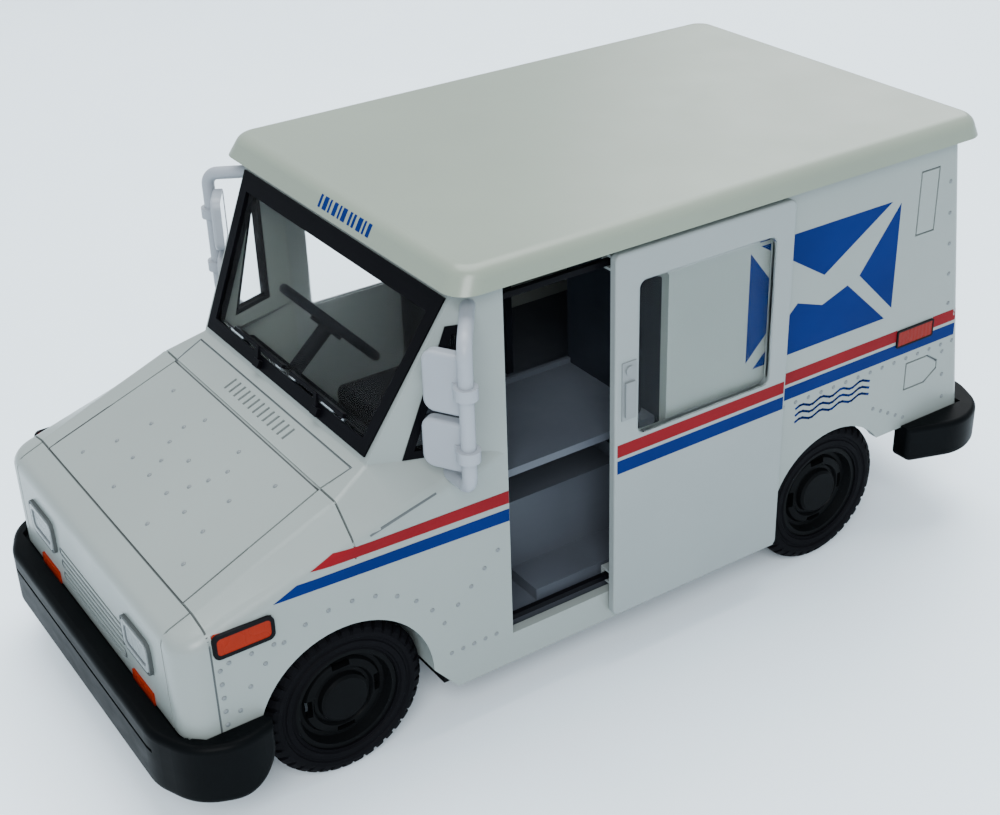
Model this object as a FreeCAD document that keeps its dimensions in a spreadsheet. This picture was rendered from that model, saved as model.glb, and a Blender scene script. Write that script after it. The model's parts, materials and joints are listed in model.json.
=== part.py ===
import FreeCAD, Part
import math
import os

import Sketcher
from FreeCAD import Placement, Rotation, Vector

doc = FreeCAD.newDocument("MailTruck")
sheet = doc.addObject("Spreadsheet::Sheet", "Dimensions")

# Driving dimensions in millimetres; slopes and tapers are plain ratios. The truck faces -Y, its left side is +X,
# the ground is z = 0 and the origin is under the middle of the whole truck. Heights on the body and what it
# carries are measured from a datum that lies ride_height above the ground; those of the wheels from the ground.
DIMENSIONS = [
    # body
    ("body_half_width", 26.6),
    ("wall", 1.3),
    ("roof_line_z", 56.0),
    ("sill_z", 4.3),
    ("nose_y", -60.5),
    ("nose_bottom_z", 12.0),
    ("nose_radius", 3.5),
    ("hood_front_y", -56.8),
    ("hood_front_z", 26.1),
    ("hood_slope", 0.4033),
    ("hood_rear_y", -38.7),
    ("hood_half_front", 20.4),
    ("hood_half_rear", 19.4),
    ("crest_half_width", 22.8),
    ("belt_front_z", 25.3),
    ("belt_slope", 0.25),
    ("pillar_y", -18.5),
    ("cowl_corner_y", -33.51),
    ("cowl_corner_half", 21.0),
    ("rear_foot_y", 59.0),
    ("rear_foot_z", 14.6),
    ("rear_top_y", 53.15),
    ("front_arch_y", -41.0),
    ("front_arch_radius", 11.5),
    ("rear_arch_y", 34.3),
    ("rear_arch_radius", 10.6),
    ("arch_z", 8.2),
    ("seam", 0.25),
    ("seam_depth", 0.22),
    # windshield
    ("screen_base_y", -33.2),
    ("screen_base_z", 36.1),
    ("screen_slope", 1.957),
    ("screen_half_base", 20.4),
    ("screen_half_top", 24.1),
    ("screen_length", 20.6),
    ("gasket_width", 1.7),
    # roof
    ("roof_half_width", 28.4),
    ("roof_front_y", -25.2),
    ("roof_rear_y", 56.1),
    ("roof_top_z", 58.7),
    # doors
    ("opening_front_y", -18.2),
    ("opening_rear_y", 4.9),
    ("opening_low_z", 8.6),
    ("opening_high_z", 55.0),
    ("door_gap", 0.35),
    ("door_thick", 1.05),
    ("door_long", 27.3),
    ("door_low_z", 5.5),
    ("door_high_z", 55.2),
    ("left_door_y", -3.8),
    ("right_door_y", -18.3),
    ("rail_x", 25.15),
    ("rail_thick", 0.7),
    ("rail_gap", 0.3),
    # running gear
    ("ride_height", 2.5),
    ("wheel_radius", 10.4),
    ("tyre_wide", 7.0),
    ("rim_radius", 6.7),
    ("wheel_face_x", 25.0),
    ("front_axle_y", -40.4),
    ("rear_axle_y", 34.4),
    ("axle_radius", 1.0),
    ("axle_play", 0.05),
    ("frame_half", 15.5),
    ("frame_low_z", 10.9),
    ("frame_high_z", 11.9),
    # bumpers
    ("front_bumper_y", -63.5),
    ("front_bumper_half", 28.6),
    ("front_bumper_flare", 1.4),
    ("front_bumper_low_z", 4.5),
    ("front_bumper_high_z", 12.6),
    ("rear_bumper_y", 63.5),
    ("rear_bumper_half", 28.2),
    ("rear_bumper_flare", 2.9),
    ("rear_bumper_low_z", 9.6),
    ("rear_bumper_high_z", 15.0),
    # cab
    ("floor_z", 8.6),
    ("tray_z", 30.2),
    ("bulkhead_y", 5.0),
    ("mirror_post_x", 31.3),
    ("mirror_post_y", -26.3),
    ("mirror_tube_radius", 0.85),
]


class Size:
    """A length that keeps its value together with the spreadsheet formula it comes from."""

    def __init__(self, value, formula=None):
        self.value = float(value)
        self.formula = formula or repr(float(value))

    def __add__(self, other):
        other = size(other)
        return Size(self.value + other.value, f"({self.formula} + {other.formula})")

    def __sub__(self, other):
        other = size(other)
        return Size(self.value - other.value, f"({self.formula} - {other.formula})")

    def __mul__(self, other):
        other = size(other)
        return Size(self.value * other.value, f"({self.formula} * {other.formula})")

    def __truediv__(self, other):
        other = size(other)
        return Size(self.value / other.value, f"({self.formula} / {other.formula})")

    def __neg__(self):
        return Size(-self.value, f"(0 - {self.formula})")

    def __rsub__(self, other):
        return size(other) - self

    __radd__ = __add__
    __rmul__ = __mul__


def size(number):
    return number if isinstance(number, Size) else Size(number)


def fill_sheet():
    for row, (alias, value) in enumerate(DIMENSIONS, start=1):
        sheet.set(f"A{row}", alias)
        sheet.set(f"B{row}", str(value))
        sheet.setAlias(f"B{row}", alias)
    doc.recompute()
    return {alias: Size(value, f"Dimensions.{alias}") for alias, value in DIMENSIONS}


D = fill_sheet()
NODES = {}

X_AXIS = Vector(1, 0, 0)
Y_AXIS = Vector(0, 1, 0)
Z_AXIS = Vector(0, 0, 1)
# Each drawing plane maps a sketch's own x, y and normal to directions of the truck.
PLANES = {
    "XY": Rotation(X_AXIS, Y_AXIS, Z_AXIS, "XYZ"),
    "XZ": Rotation(X_AXIS, Z_AXIS, -Y_AXIS, "XYZ"),
    "YZ": Rotation(Y_AXIS, Z_AXIS, X_AXIS, "XYZ"),
}
TURNS = {"X": Rotation(Y_AXIS, 90), "Y": Rotation(X_AXIS, -90), "Z": Rotation()}


# ---------------------------------------------------------------- construction helpers


def bind(thing, path, value):
    thing.setExpression(path, size(value).formula)


def place(thing, x, y, z, rotation=Rotation()):
    """Sets where a thing stands and binds its position to the sheet."""
    thing.Placement = Placement(Vector(size(x).value, size(y).value, size(z).value), rotation)
    for axis, value in zip("xyz", (x, y, z)):
        bind(thing, f".Placement.Base.{axis}", value)


def box(x_range, y_range, z_range):
    solid = doc.addObject("Part::Box", "Block")
    for prop, (low, high) in zip(("Length", "Width", "Height"), (x_range, y_range, z_range)):
        bind(solid, prop, size(high) - low)
    place(solid, x_range[0], y_range[0], z_range[0])
    return solid


def cylinder(axis, start, radius, length):
    """A round bar from its start point along the positive X, Y or Z axis."""
    solid = doc.addObject("Part::Cylinder", "Bar")
    bind(solid, "Radius", radius)
    bind(solid, "Height", length)
    place(solid, *start, TURNS[axis])
    return solid


def outline(sketch, points):
    """Draws a closed polygon whose corners are bound to the sheet."""
    corners = [(size(a), size(b)) for a, b in points]
    count = len(corners)
    for index, (a, b) in enumerate(corners):
        c, d = corners[(index + 1) % count]
        start = Vector(a.value, b.value, 0)
        sketch.addGeometry(Part.LineSegment(start, Vector(c.value, d.value, 0)))
    for index, (a, b) in enumerate(corners):
        sketch.addConstraint(Sketcher.Constraint("Coincident", index, 2, (index + 1) % count, 1))
        for kind, value in (("DistanceX", a), ("DistanceY", b)):
            datum = sketch.addConstraint(Sketcher.Constraint(kind, -1, 1, index, 1, value.value))
            sketch.setExpression(f"Constraints[{datum}]", value.formula)


def drawing(plane, points, offset=0):
    """A polygon sketch on a drawing plane or frame, moved along its normal by offset."""
    sketch = doc.addObject("Sketcher::SketchObject", "Outline")
    outline(sketch, points)
    if isinstance(plane, Placement):
        sketch.Placement = plane.multiply(Placement(Vector(0, 0, size(offset).value), Rotation()))
        return sketch
    normal = PLANES[plane].multVec(Z_AXIS)
    place(sketch, *(size(offset) * part for part in normal), PLANES[plane])
    return sketch


def prism(plane, points, low, high):
    """A polygon pushed along its plane's normal from low to high."""
    solid = doc.addObject("Part::Extrusion", "Prism")
    solid.Base = drawing(plane, points, low)
    solid.DirMode = "Normal"
    solid.Solid = True
    bind(solid, "LengthFwd", size(high) - low)
    return solid


def rectangle(a_range, b_range):
    return [(a_range[0], b_range[0]), (a_range[1], b_range[0]), (a_range[1], b_range[1]), (a_range[0], b_range[1])]


def trapezoid(half_low, half_high, low, high):
    return [(-size(half_low), low), (half_low, low), (half_high, high), (-size(half_high), high)]


def fuse(*parts):
    if len(parts) == 1:
        return parts[0]
    solid = doc.addObject("Part::MultiFuse", "Joined")
    solid.Shapes = list(parts)
    return solid


def cut(base, *tools):
    solid = doc.addObject("Part::Cut", "Trimmed")
    solid.Base = base
    solid.Tool = fuse(*tools)
    return solid


def common(first, second):
    solid = doc.addObject("Part::Common", "Shared")
    solid.Base = first
    solid.Tool = second
    return solid


def group(parts):
    """Identical separate pieces kept in one file."""
    solid = doc.addObject("Part::Compound", "Set")
    solid.Links = list(parts)
    return solid


def mirrored(thing):
    """The same solid on the other side of the truck's centre plane."""
    solid = doc.addObject("Part::Mirroring", "Mirrored")
    solid.Source = thing
    solid.Normal = X_AXIS
    return solid


def both_sides(thing):
    return [thing, mirrored(thing)]


def fillet(base, radius, chosen):
    """Rounds the edges of base for which chosen(edge) is true."""
    doc.recompute()
    solid = doc.addObject("Part::Fillet", "Rounded")
    solid.Base = base
    radius = size(radius).value
    solid.Edges = [(n, radius, radius) for n, edge in enumerate(base.Shape.Edges, start=1) if chosen(edge)]
    return solid


def node(label, thing):
    """Names a finished piece; its label is its file's name."""
    thing.Label = label
    NODES[label] = thing
    return thing


def lift(thing):
    """Raises a finished piece by the ride height, over and above its own placement."""
    base = dict(thing.ExpressionEngine).get(".Placement.Base.z", repr(thing.Placement.Base.z))
    thing.setExpression(".Placement.Base.z", f"{base} + {D['ride_height'].formula}")


def pair(stem, left):
    """A left-hand piece and its right-hand twin."""
    node(f"{stem}_left", left)
    node(f"{stem}_right", mirrored(left))


def ends(edge):
    return [vertex.Point for vertex in edge.Vertexes]


def span(edge, axis):
    values = [getattr(point, axis) for point in ends(edge)]
    return max(values) - min(values)


def along(axis):
    """Chooses straight edges parallel to one axis."""
    others = [name for name in "xyz" if name != axis]
    return lambda edge: span(edge, axis) > 0.01 and all(span(edge, name) < 0.001 for name in others)


def on(value, goal, tolerance=0.05):
    return abs(value - size(goal).value) < tolerance


def plane_frame(origin, direction_x, direction_y):
    """A drawing frame from its origin and its own x and y directions."""
    normal = direction_x.cross(direction_y)
    return Placement(origin, Rotation(direction_x, direction_y, normal, "XYZ"))


# ---------------------------------------------------------------- sketched bodies


class SketchedBody:
    """A PartDesign body built from pads and pockets of polygon sketches."""

    def __init__(self, name):
        self.body = doc.addObject("PartDesign::Body", name)

    def sketch(self, plane, points, offset):
        sketch = self.body.newObject("Sketcher::SketchObject", "Profile")
        role = f"{plane}_Plane"
        support = [item for item in self.body.Origin.OriginFeatures if item.Role == role][0]
        sketch.AttachmentSupport = [(support, "")]
        sketch.MapMode = "FlatFace"
        bind(sketch, "AttachmentOffset.Base.z", offset)
        outline(sketch, points)
        return sketch

    def pad(self, plane, points, low, high):
        feature = self.body.newObject("PartDesign::Pad", "Pad")
        feature.Profile = self.sketch(plane, points, low)
        bind(feature, "Length", size(high) - low)
        return feature

    def pocket(self, plane, points, low, high):
        """Cuts from high down to low, against the plane's normal."""
        feature = self.body.newObject("PartDesign::Pocket", "Pocket")
        feature.Profile = self.sketch(plane, points, high)
        bind(feature, "Length", size(high) - low)
        return feature

    def revolve(self, points, axis_name="H_Axis"):
        feature = self.body.newObject("PartDesign::Revolution", "Revolution")
        feature.Profile = self.sketch("XY", points, 0)
        feature.ReferenceAxis = (feature.Profile[0], [axis_name])
        feature.Angle = 360
        return feature

    def pattern(self, original, count):
        feature = self.body.newObject("PartDesign::PolarPattern", "Pattern")
        feature.Originals = [original]
        axis = [item for item in self.body.Origin.OriginFeatures if item.Role == "X_Axis"][0]
        feature.Axis = (axis, [""])
        feature.Angle = 360
        feature.Occurrences = count
        self.body.Tip = feature
        return feature

    def round(self, radius, chosen):
        doc.recompute()
        base = self.body.Tip
        names = [f"Edge{n}" for n, edge in enumerate(base.Shape.Edges, start=1) if chosen(edge)]
        feature = self.body.newObject("PartDesign::Fillet", "Fillet")
        feature.Base = (base, names)
        bind(feature, "Radius", radius)
        return feature


# ---------------------------------------------------------------- body surfaces


def hood_z(y):
    return D["hood_front_z"] + D["hood_slope"] * (y - D["hood_front_y"])


def belt_z(y):
    """Height at which the shoulder meets the vertical side."""
    return D["belt_front_z"] + D["belt_slope"] * (y - D["hood_front_y"])


def screen_y(z):
    return D["screen_base_y"] + (z - D["screen_base_z"]) / D["screen_slope"]


def rear_y(z):
    lean = (D["rear_foot_y"] - D["rear_top_y"]) / (D["roof_line_z"] - D["rear_foot_z"])
    return D["rear_foot_y"] - lean * (z - D["rear_foot_z"])


def rising(slope):
    """The direction, up a surface that climbs towards +Y with this slope."""
    return Vector(0, 1, slope).normalize()


def point(x, y, z):
    return Vector(size(x).value, size(y).value, size(z).value)


HOOD = plane_frame(point(0, D["hood_front_y"], D["hood_front_z"]), X_AXIS, rising(D["hood_slope"].value))
SCREEN = plane_frame(point(0, D["screen_base_y"], D["screen_base_z"]), X_AXIS, rising(D["screen_slope"].value))
REAR_SLOPE = (D["roof_line_z"] - D["rear_foot_z"]) / (D["rear_top_y"] - D["rear_foot_y"])
REAR = plane_frame(point(0, D["rear_foot_y"], D["rear_foot_z"]), -X_AXIS, -rising(REAR_SLOPE.value))


def cab_side_frame():
    """The tapered upright panel between the windshield and the left door post."""
    run = point(D["body_half_width"], D["pillar_y"], 0) - point(D["cowl_corner_half"], D["cowl_corner_y"], 0)
    return plane_frame(point(D["body_half_width"], D["pillar_y"], 0), run.normalize(), Z_AXIS)


CAB_SIDE = cab_side_frame()


def body_profile(inset):
    """Side view of the body; with an inset it is the hollow, open below and above."""
    inset = size(inset)
    hood_drop = inset * 1.08
    cowl_y = D["cowl_corner_y"] + inset * 0.6
    high_z = D["roof_line_z"] + (4 if inset.value else 0)
    upper = [
        (rear_y(high_z) - inset, high_z),
        (screen_y(high_z) + inset * 1.12, high_z),
        (cowl_y, hood_z(cowl_y) - hood_drop),
        (D["nose_y"] + inset, hood_z(D["nose_y"] + inset) - hood_drop),
    ]
    if inset.value:
        rear_foot_y = D["rear_foot_y"] - inset
        return [(D["nose_y"] + inset, 2), (rear_foot_y, 2), (rear_foot_y, D["rear_foot_z"])] + upper
    arch_foot_y = D["front_arch_y"] + D["front_arch_radius"]
    return [
        (D["nose_y"], D["nose_bottom_z"]),
        (D["front_arch_y"], D["nose_bottom_z"]),
        (D["front_arch_y"], D["arch_z"]),
        (arch_foot_y, D["arch_z"]),
        (arch_foot_y + 3.2, D["sill_z"]),
        (D["rear_arch_y"], D["sill_z"]),
        (D["rear_arch_y"], D["rear_foot_z"]),
        (D["rear_foot_y"], D["rear_foot_z"]),
    ] + upper


def shoulder_cutter(inset):
    """What lies outside the left shoulder and the tapered cab side."""
    outer_x = size(30)
    high_z = size(64)
    side_x = D["body_half_width"] - inset
    stations = [
        (D["nose_y"] - 2, D["crest_half_width"] - inset),
        (D["hood_rear_y"], D["crest_half_width"] - inset),
        (D["cowl_corner_y"], D["cowl_corner_half"] - inset),
    ]
    sections = []
    for y, inner_x in stations:
        inner_z = hood_z(y) - inset
        fall = (inner_z - belt_z(y) + inset) / (side_x - inner_x)
        low_z = inner_z - fall * (outer_x - inner_x)
        points = [(inner_x, inner_z), (outer_x, low_z), (outer_x, high_z), (inner_x, high_z)]
        sections.append(drawing("XZ", points, -y))
    inner_z = belt_z(D["pillar_y"]) - inset
    low_z = inner_z - (outer_x - side_x) * 0.7
    points = [(side_x, inner_z), (outer_x, low_z), (outer_x, high_z), (side_x, high_z)]
    sections.append(drawing("XZ", points, -D["pillar_y"]))
    loft = doc.addObject("Part::Loft", "Shoulder")
    loft.Sections = sections
    loft.Solid = True
    loft.Ruled = True
    return loft


def body_form(inset):
    half = D["body_half_width"] - inset
    return cut(prism("YZ", body_profile(inset), -half, half), *both_sides(shoulder_cutter(inset)))


def rounded_body():
    half = D["body_half_width"]
    crest = D["crest_half_width"]

    def nose_corner(edge):
        return span(edge, "z") > 5 and all(on(p.y, D["nose_y"]) and on(abs(p.x), half) for p in ends(edge))

    def crest_line(edge):
        return all(on(abs(p.x), crest, 0.1) and p.z > 20 for p in ends(edge)) and span(edge, "y") > 5

    def cowl_side(edge):
        rear = max(ends(edge), key=lambda p: p.y)
        on_corner = on(rear.y, D["cowl_corner_y"]) and on(abs(rear.x), D["cowl_corner_half"])
        return on_corner and span(edge, "x") < 2.5 and span(edge, "y") > 3

    def rear_corner(edge):
        return span(edge, "x") < 0.01 and span(edge, "z") > 30 and all(p.y > 50 for p in ends(edge))

    def belt(edge):
        high = all(on(abs(p.x), half) and p.z > 24 and p.y < -18 for p in ends(edge))
        return high and span(edge, "y") > 3

    form = fillet(body_form(0), D["nose_radius"], nose_corner)
    form = fillet(form, 1.2, rear_corner)
    form = fillet(form, 1.0, cowl_side)
    form = fillet(form, 1.2, crest_line)
    # The belt edge runs on, tangent, round the nose corners and along the front of the hood.
    return fillet(form, 2.0, belt)


# ---------------------------------------------------------------- body shell


def wheel_well(y, z, radius, front_low_z, rear_low_z):
    """The well that stands behind a wheel arch, on the left, and the hollow inside it."""
    outside = radius + 1.1
    drum = cylinder("X", (16.8, y, z), outside, 8.8)
    ahead = box((16, 27), (y - outside, y), (front_low_z, 30))
    behind = box((16, 27), (y, y + outside), (rear_low_z, 30))
    hollow = cylinder("X", (16.0, y, z), radius, D["body_half_width"] - D["wall"] - 16.0)
    return common(drum, fuse(ahead, behind)), hollow


def ring(plane, outer, inner, low, high):
    return cut(prism(plane, outer, low, high), prism(plane, inner, low, high))


def inset_trapezoid(half_low, half_high, low, high, margin):
    return trapezoid(half_low - margin, half_high - margin, low + margin, high - margin)


def seams(outer):
    """Narrow engraved lines where the real truck's panels meet."""
    wide = D["seam"]
    deep = D["seam_depth"]
    hood_long = 19.5
    hood_outline = (D["hood_half_front"], D["hood_half_rear"], size(0), size(hood_long))
    cowl_outline = (D["hood_half_rear"], D["hood_half_rear"] + 0.5, size(hood_long), size(hood_long + 4.4))
    lines = [
        ring(HOOD, trapezoid(*args), inset_trapezoid(*args, wide), -deep, 1) for args in (hood_outline, cowl_outline)
    ]
    skin = cut(outer, body_form(deep))
    front = D["hood_front_y"]
    slabs = both_sides(box((D["hood_half_front"], 28), (front, front + wide), (11, 28)))
    slabs += both_sides(box((22.2, wide + 22.2), (-62, front), (11, 28)))
    slabs += both_sides(box((D["hood_half_rear"], 28), (D["hood_rear_y"], D["hood_rear_y"] + wide), (28, 34)))
    belt_run = [(-35.1, belt_z(size(-35.1))), (-27.8, belt_z(size(-27.8)))]
    belt_line = [(y, z - 0.3) for y, z in belt_run] + [(y, z - 0.3 + wide) for y, z in reversed(belt_run)]
    slabs += both_sides(prism("YZ", belt_line, 25, 28))
    lines.append(common(fuse(*slabs), skin))
    return lines


def vents():
    """Air intake slots across the cowl panel."""
    count = 13
    pitch = 15.4 / (count - 1)
    slots = []
    for index in range(count):
        x = -7.7 + index * pitch
        slots.append(prism(HOOD, rectangle((x - 0.22, x + 0.22), (21.0, 22.9)), -D["seam_depth"], 1))
    return slots


def grille_lines():
    """Three pairs of thin slots across the fascia."""
    slots = []
    for z in (17.4, 15.6, 13.8):
        for shift in (0, 0.75):
            low = z + shift
            slots.append(box((-9.6, 9.6), (D["nose_y"] - 1, D["nose_y"] + 0.3), (low, low + 0.3)))
    return slots


def side_grooves():
    """Engraved outlines of the louvre plate and the fuel door on the cargo sides."""
    low = D["body_half_width"] - D["seam_depth"]
    wide = 0.25
    plate = ring("YZ", rectangle((46.3, 49.8), (43.7, 52.7)), rectangle((46.55, 49.55), (43.95, 52.45)), low, 28)
    fuel = [(47.1, 20.5), (51.2, 20.5), (53.4, 22.0), (53.4, 23.4), (51.4, 24.8), (47.1, 24.8)]
    middle = (50.2, 22.65)
    inner = [(y + math.copysign(wide, middle[0] - y), z + math.copysign(wide, middle[1] - z)) for y, z in fuel]
    return both_sides(plate) + both_sides(ring("YZ", fuel, inner, low, 28))


def quarter_outline(margin):
    """The quarter window: a triangle with a blunt top, in the cab side's own frame."""
    front = -11.9
    rear = -4.1
    low = 35.4
    high = 51.4
    blunt = 2.2
    lean = (rear - blunt - front) / (high - low)
    slant = math.hypot(1, lean)
    return [
        (front + margin * (lean + slant), low + margin),
        (rear - margin, low + margin),
        (rear - margin, high - margin),
        (rear - blunt + margin * (slant - lean), high - margin),
    ]


def windshield_outline(margin):
    low = size(0) + margin
    high = D["screen_length"] - margin * 1.4
    widen = (D["screen_half_top"] - D["screen_half_base"]) / D["screen_length"]
    half_low = D["screen_half_base"] + widen * low - margin
    half_high = D["screen_half_base"] + widen * high - margin
    return trapezoid(half_low, half_high, low, high)


HEADLIGHT = ((11.0, 18.5), (16.8, 21.1))
TURN_SIGNAL = ((11.7, 17.4), (11.9, 13.6))
FRONT_MARKER = ((-56.3, -49.3), (22.4, 25.2))
REAR_MARKER = ((44.9, 51.4), (28.0, 30.2))
TAIL_LAMP = ((-25.0, -21.6), (5.5, 13.5))
REAR_DOOR = ((-20.0, 20.0), (3.2, 38.0))
# Screws that hold the floor pan to the cab tub, and the frame to the body's posts, as (x, y).
TUB_SCREWS = [(x, y) for x in (-12, 12) for y in (-20, 1)]
BODY_SCREWS = [(x, y) for x in (-13, 13) for y in (-57.3, 55.7)]
SCREW_RADIUS = 0.8
SCREW_RECESS = 0.75
POST_RADIUS = 2.0


def fascia_lamp(area, low_y, high_y):
    x_range, z_range = area
    return box(x_range, (D["nose_y"] + low_y, D["nose_y"] + high_y), z_range)


def side_lamp(area, low, high):
    return box((D["body_half_width"] + low, D["body_half_width"] + high), *area)


def rear_lamp(area, low, high):
    return prism(REAR, rectangle(*area), low, high)


def body_shell():
    outer = rounded_body()
    walls = cut(outer, body_form(D["wall"]))
    front, front_hollow = wheel_well(
        D["front_arch_y"], D["arch_z"], D["front_arch_radius"], D["nose_bottom_z"], D["arch_z"]
    )
    rear, rear_hollow = wheel_well(
        D["rear_axle_y"], D["arch_z"], D["wheel_radius"] + 0.7, D["arch_z"], D["rear_foot_z"]
    )
    posts = [cylinder("Z", (x, y, D["frame_high_z"]), POST_RADIUS, 7.5) for x, y in BODY_SCREWS]
    solid = fuse(walls, *both_sides(front), *both_sides(rear), *posts)
    tools = both_sides(front_hollow) + both_sides(rear_hollow)
    tools += both_sides(cylinder("X", (25, D["front_arch_y"], D["arch_z"]), D["front_arch_radius"], 6))
    tools += both_sides(cylinder("X", (25, D["rear_arch_y"], D["arch_z"]), D["rear_arch_radius"], 6))
    tools += [
        box((-32, 32), (D["opening_front_y"], D["opening_rear_y"]), (D["opening_low_z"], D["opening_high_z"])),
        prism(SCREEN, windshield_outline(0.5), -4, 2),
        prism(REAR, rectangle(*REAR_DOOR), -3, 1),
    ]
    tools += both_sides(prism(CAB_SIDE, quarter_outline(0.4), -3, 1))
    tools += both_sides(fascia_lamp(HEADLIGHT, -1, 0.7)) + both_sides(fascia_lamp(TURN_SIGNAL, -1, 0.7))
    tools += both_sides(side_lamp(FRONT_MARKER, -0.5, 1)) + both_sides(side_lamp(REAR_MARKER, -0.5, 1))
    tools += both_sides(rear_lamp(TAIL_LAMP, -0.5, 1))
    tools += [cylinder("Z", (x, y, D["frame_high_z"] - 0.5), SCREW_RADIUS, 4.0) for x, y in BODY_SCREWS]
    tools += seams(outer) + vents() + grille_lines() + side_grooves()
    return node("body_shell", cut(solid, *tools))


def roof_cap():
    """The separate roof moulding: drafted sides, a sloping visor in front and a hollow underside."""
    low = D["roof_line_z"]
    high = D["roof_top_z"]
    front = D["roof_front_y"]
    profile = [(front, low), (D["roof_rear_y"], low), (D["roof_rear_y"] - 0.6, high), (front + 1.5, high)]
    half = D["roof_half_width"]
    side_view = prism("YZ", profile, -half - 1, half + 1)
    end_view = prism("XZ", trapezoid(half, half - 0.8, low, high), -60, 40)
    slab = common(side_view, end_view)
    corners = fillet(slab, 3.4, lambda edge: span(edge, "z") > 2)
    rim = fillet(corners, 1.9, lambda edge: min(p.z for p in ends(edge)) > high.value - 0.05)
    pocket = box((-24.0, 24.0), (-19.5, 50.0), (low - 0.1, high - 1.1))
    return node("roof_cap", cut(rim, pocket))


# ---------------------------------------------------------------- glazing and lamps


def glazing():
    thick = 0.8
    margin = D["gasket_width"]
    # The gasket fills the opening's edge and stands slightly proud of the body; the pane sits inside it.
    low = -D["wall"]
    seat = prism(SCREEN, windshield_outline(0.5), low, 0.25)
    lip = prism(SCREEN, windshield_outline(0), 0.01, 0.25)
    pane_hole = prism(SCREEN, windshield_outline(margin), -2, 1)
    node("windshield_gasket", cut(fuse(seat, lip), pane_hole))
    node("windshield", prism(SCREEN, windshield_outline(margin), -thick, -0.05))
    seat = prism(CAB_SIDE, quarter_outline(0.4), -1.1, 0.15)
    lip = prism(CAB_SIDE, quarter_outline(0), 0.01, 0.15)
    hole = prism(CAB_SIDE, quarter_outline(1.0), -2, 1)
    pair("quarter_gasket", cut(fuse(seat, lip), hole))
    pair("quarter_window", prism(CAB_SIDE, quarter_outline(1.0), -0.8, -0.05))


def wiper(pivot_x):
    """A wiper arm and blade that lie on the glass."""
    blade = prism(SCREEN, rectangle((pivot_x - 7.5, pivot_x + 5.5), (2.2, 2.7)), -0.05, 0.55)
    arm_points = [(pivot_x - 0.3, 0.7), (pivot_x + 0.5, 0.7), (pivot_x - 0.6, 2.6), (pivot_x - 1.3, 2.6)]
    arm = prism(SCREEN, arm_points, 0.3, 0.75)
    hub = prism(SCREEN, rectangle((pivot_x - 0.6, pivot_x + 0.8), (0.2, 1.2)), 0.25, 0.8)
    return fuse(blade, arm, hub)


def lamps():
    nose = D["nose_y"].value

    def front_face(edge):
        return all(p.y < nose - 0.2 for p in ends(edge))

    headlight = fillet(fascia_lamp(HEADLIGHT, -0.35, 0.7), 0.8, along("y"))
    pair("headlight", fillet(headlight, 0.25, front_face))
    pair("turn_signal", fascia_lamp(TURN_SIGNAL, -0.3, 0.7))
    pair("side_marker_front", fillet(side_lamp(FRONT_MARKER, -0.5, 0.3), 0.6, along("x")))
    pair("side_marker_rear", side_lamp(REAR_MARKER, -0.5, 0.2))
    pair("tail_lamp", rear_lamp(TAIL_LAMP, -0.5, 0.3))


def rear_door():
    """The slatted roll-up door that closes the cargo bay, with its lift handle."""
    x_range, v_range = REAR_DOOR
    panel = prism(REAR, rectangle(x_range, v_range), -1.1, -0.15)
    slats = 9
    pitch = (v_range[1] - v_range[0]) / slats
    grooves = []
    for index in range(1, slats):
        low = v_range[0] + index * pitch
        grooves.append(prism(REAR, rectangle(x_range, (low - 0.15, low + 0.15)), -0.4, 0))
    node("rear_door", cut(panel, *grooves))
    bar = prism(REAR, rectangle((-4.0, 4.0), (4.4, 5.6)), 0.25, 0.75)
    feet = [prism(REAR, rectangle((x, x + 1.2), (4.4, 5.6)), -0.15, 0.25) for x in (-4.0, 2.8)]
    node("rear_door_handle", fuse(bar, *feet))


# ---------------------------------------------------------------- sliding doors


def door(stem, front_y):
    """A left-hand sliding door with its pane and latch, its front edge at front_y."""
    inner_x = D["body_half_width"] + D["door_gap"]
    outer_x = inner_x + D["door_thick"]
    panel = SketchedBody(f"{stem}_panel")
    panel.pad("YZ", rectangle((front_y, front_y + D["door_long"]), (D["door_low_z"], D["door_high_z"])), inner_x, outer_x)
    pane = rectangle((front_y + 3.55, front_y + 24.2), (31.1, 51.1))
    panel.pocket("YZ", pane, inner_x - 1, outer_x + 1)
    panel.round(0.9, along("x"))
    panel.round(0.3, lambda edge: all(on(p.x, outer_x) for p in ends(edge)))
    rail_x = D["rail_x"]
    gap = D["rail_gap"]
    shoe_y = (front_y + 0.6, front_y + 2.4)
    for rail_z in (rail_low_z(), rail_high_z()):
        shoe = rectangle((rail_x - gap - 0.35, inner_x + 0.2), (rail_z - gap - 0.3, rail_z + D["rail_thick"] + gap + 0.3))
        panel.pad("XZ", shoe, -shoe_y[1], -shoe_y[0])
        slot_x = (rail_x - gap, rail_x + D["rail_thick"] + gap)
        slot_z = (rail_z - gap, rail_z + D["rail_thick"] + gap)
        panel.pocket("XZ", rectangle(slot_x, slot_z), -shoe_y[1] - 0.5, 0.5 - shoe_y[0])
    glass = fillet(prism("YZ", pane, inner_x + 0.25, outer_x + 0.2), 0.9, along("x"))
    glass = fillet(glass, 0.18, lambda edge: all(on(p.x, outer_x + 0.2) for p in ends(edge)))
    plate = box((outer_x, outer_x + 0.15), (front_y + 0.9, front_y + 3.0), (33.7, 41.4))
    pull = box((outer_x, outer_x + 0.45), (front_y + 1.25, front_y + 2.65), (34.2, 38.8))
    lock = cylinder("X", (outer_x, front_y + 1.95, 40.3), 0.6, 0.35)
    latch = fuse(plate, pull, lock)
    return panel.body, glass, latch


def rail_low_z():
    return D["opening_low_z"] + 1.3


def rail_high_z():
    return D["opening_high_z"] - 1.8


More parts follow.
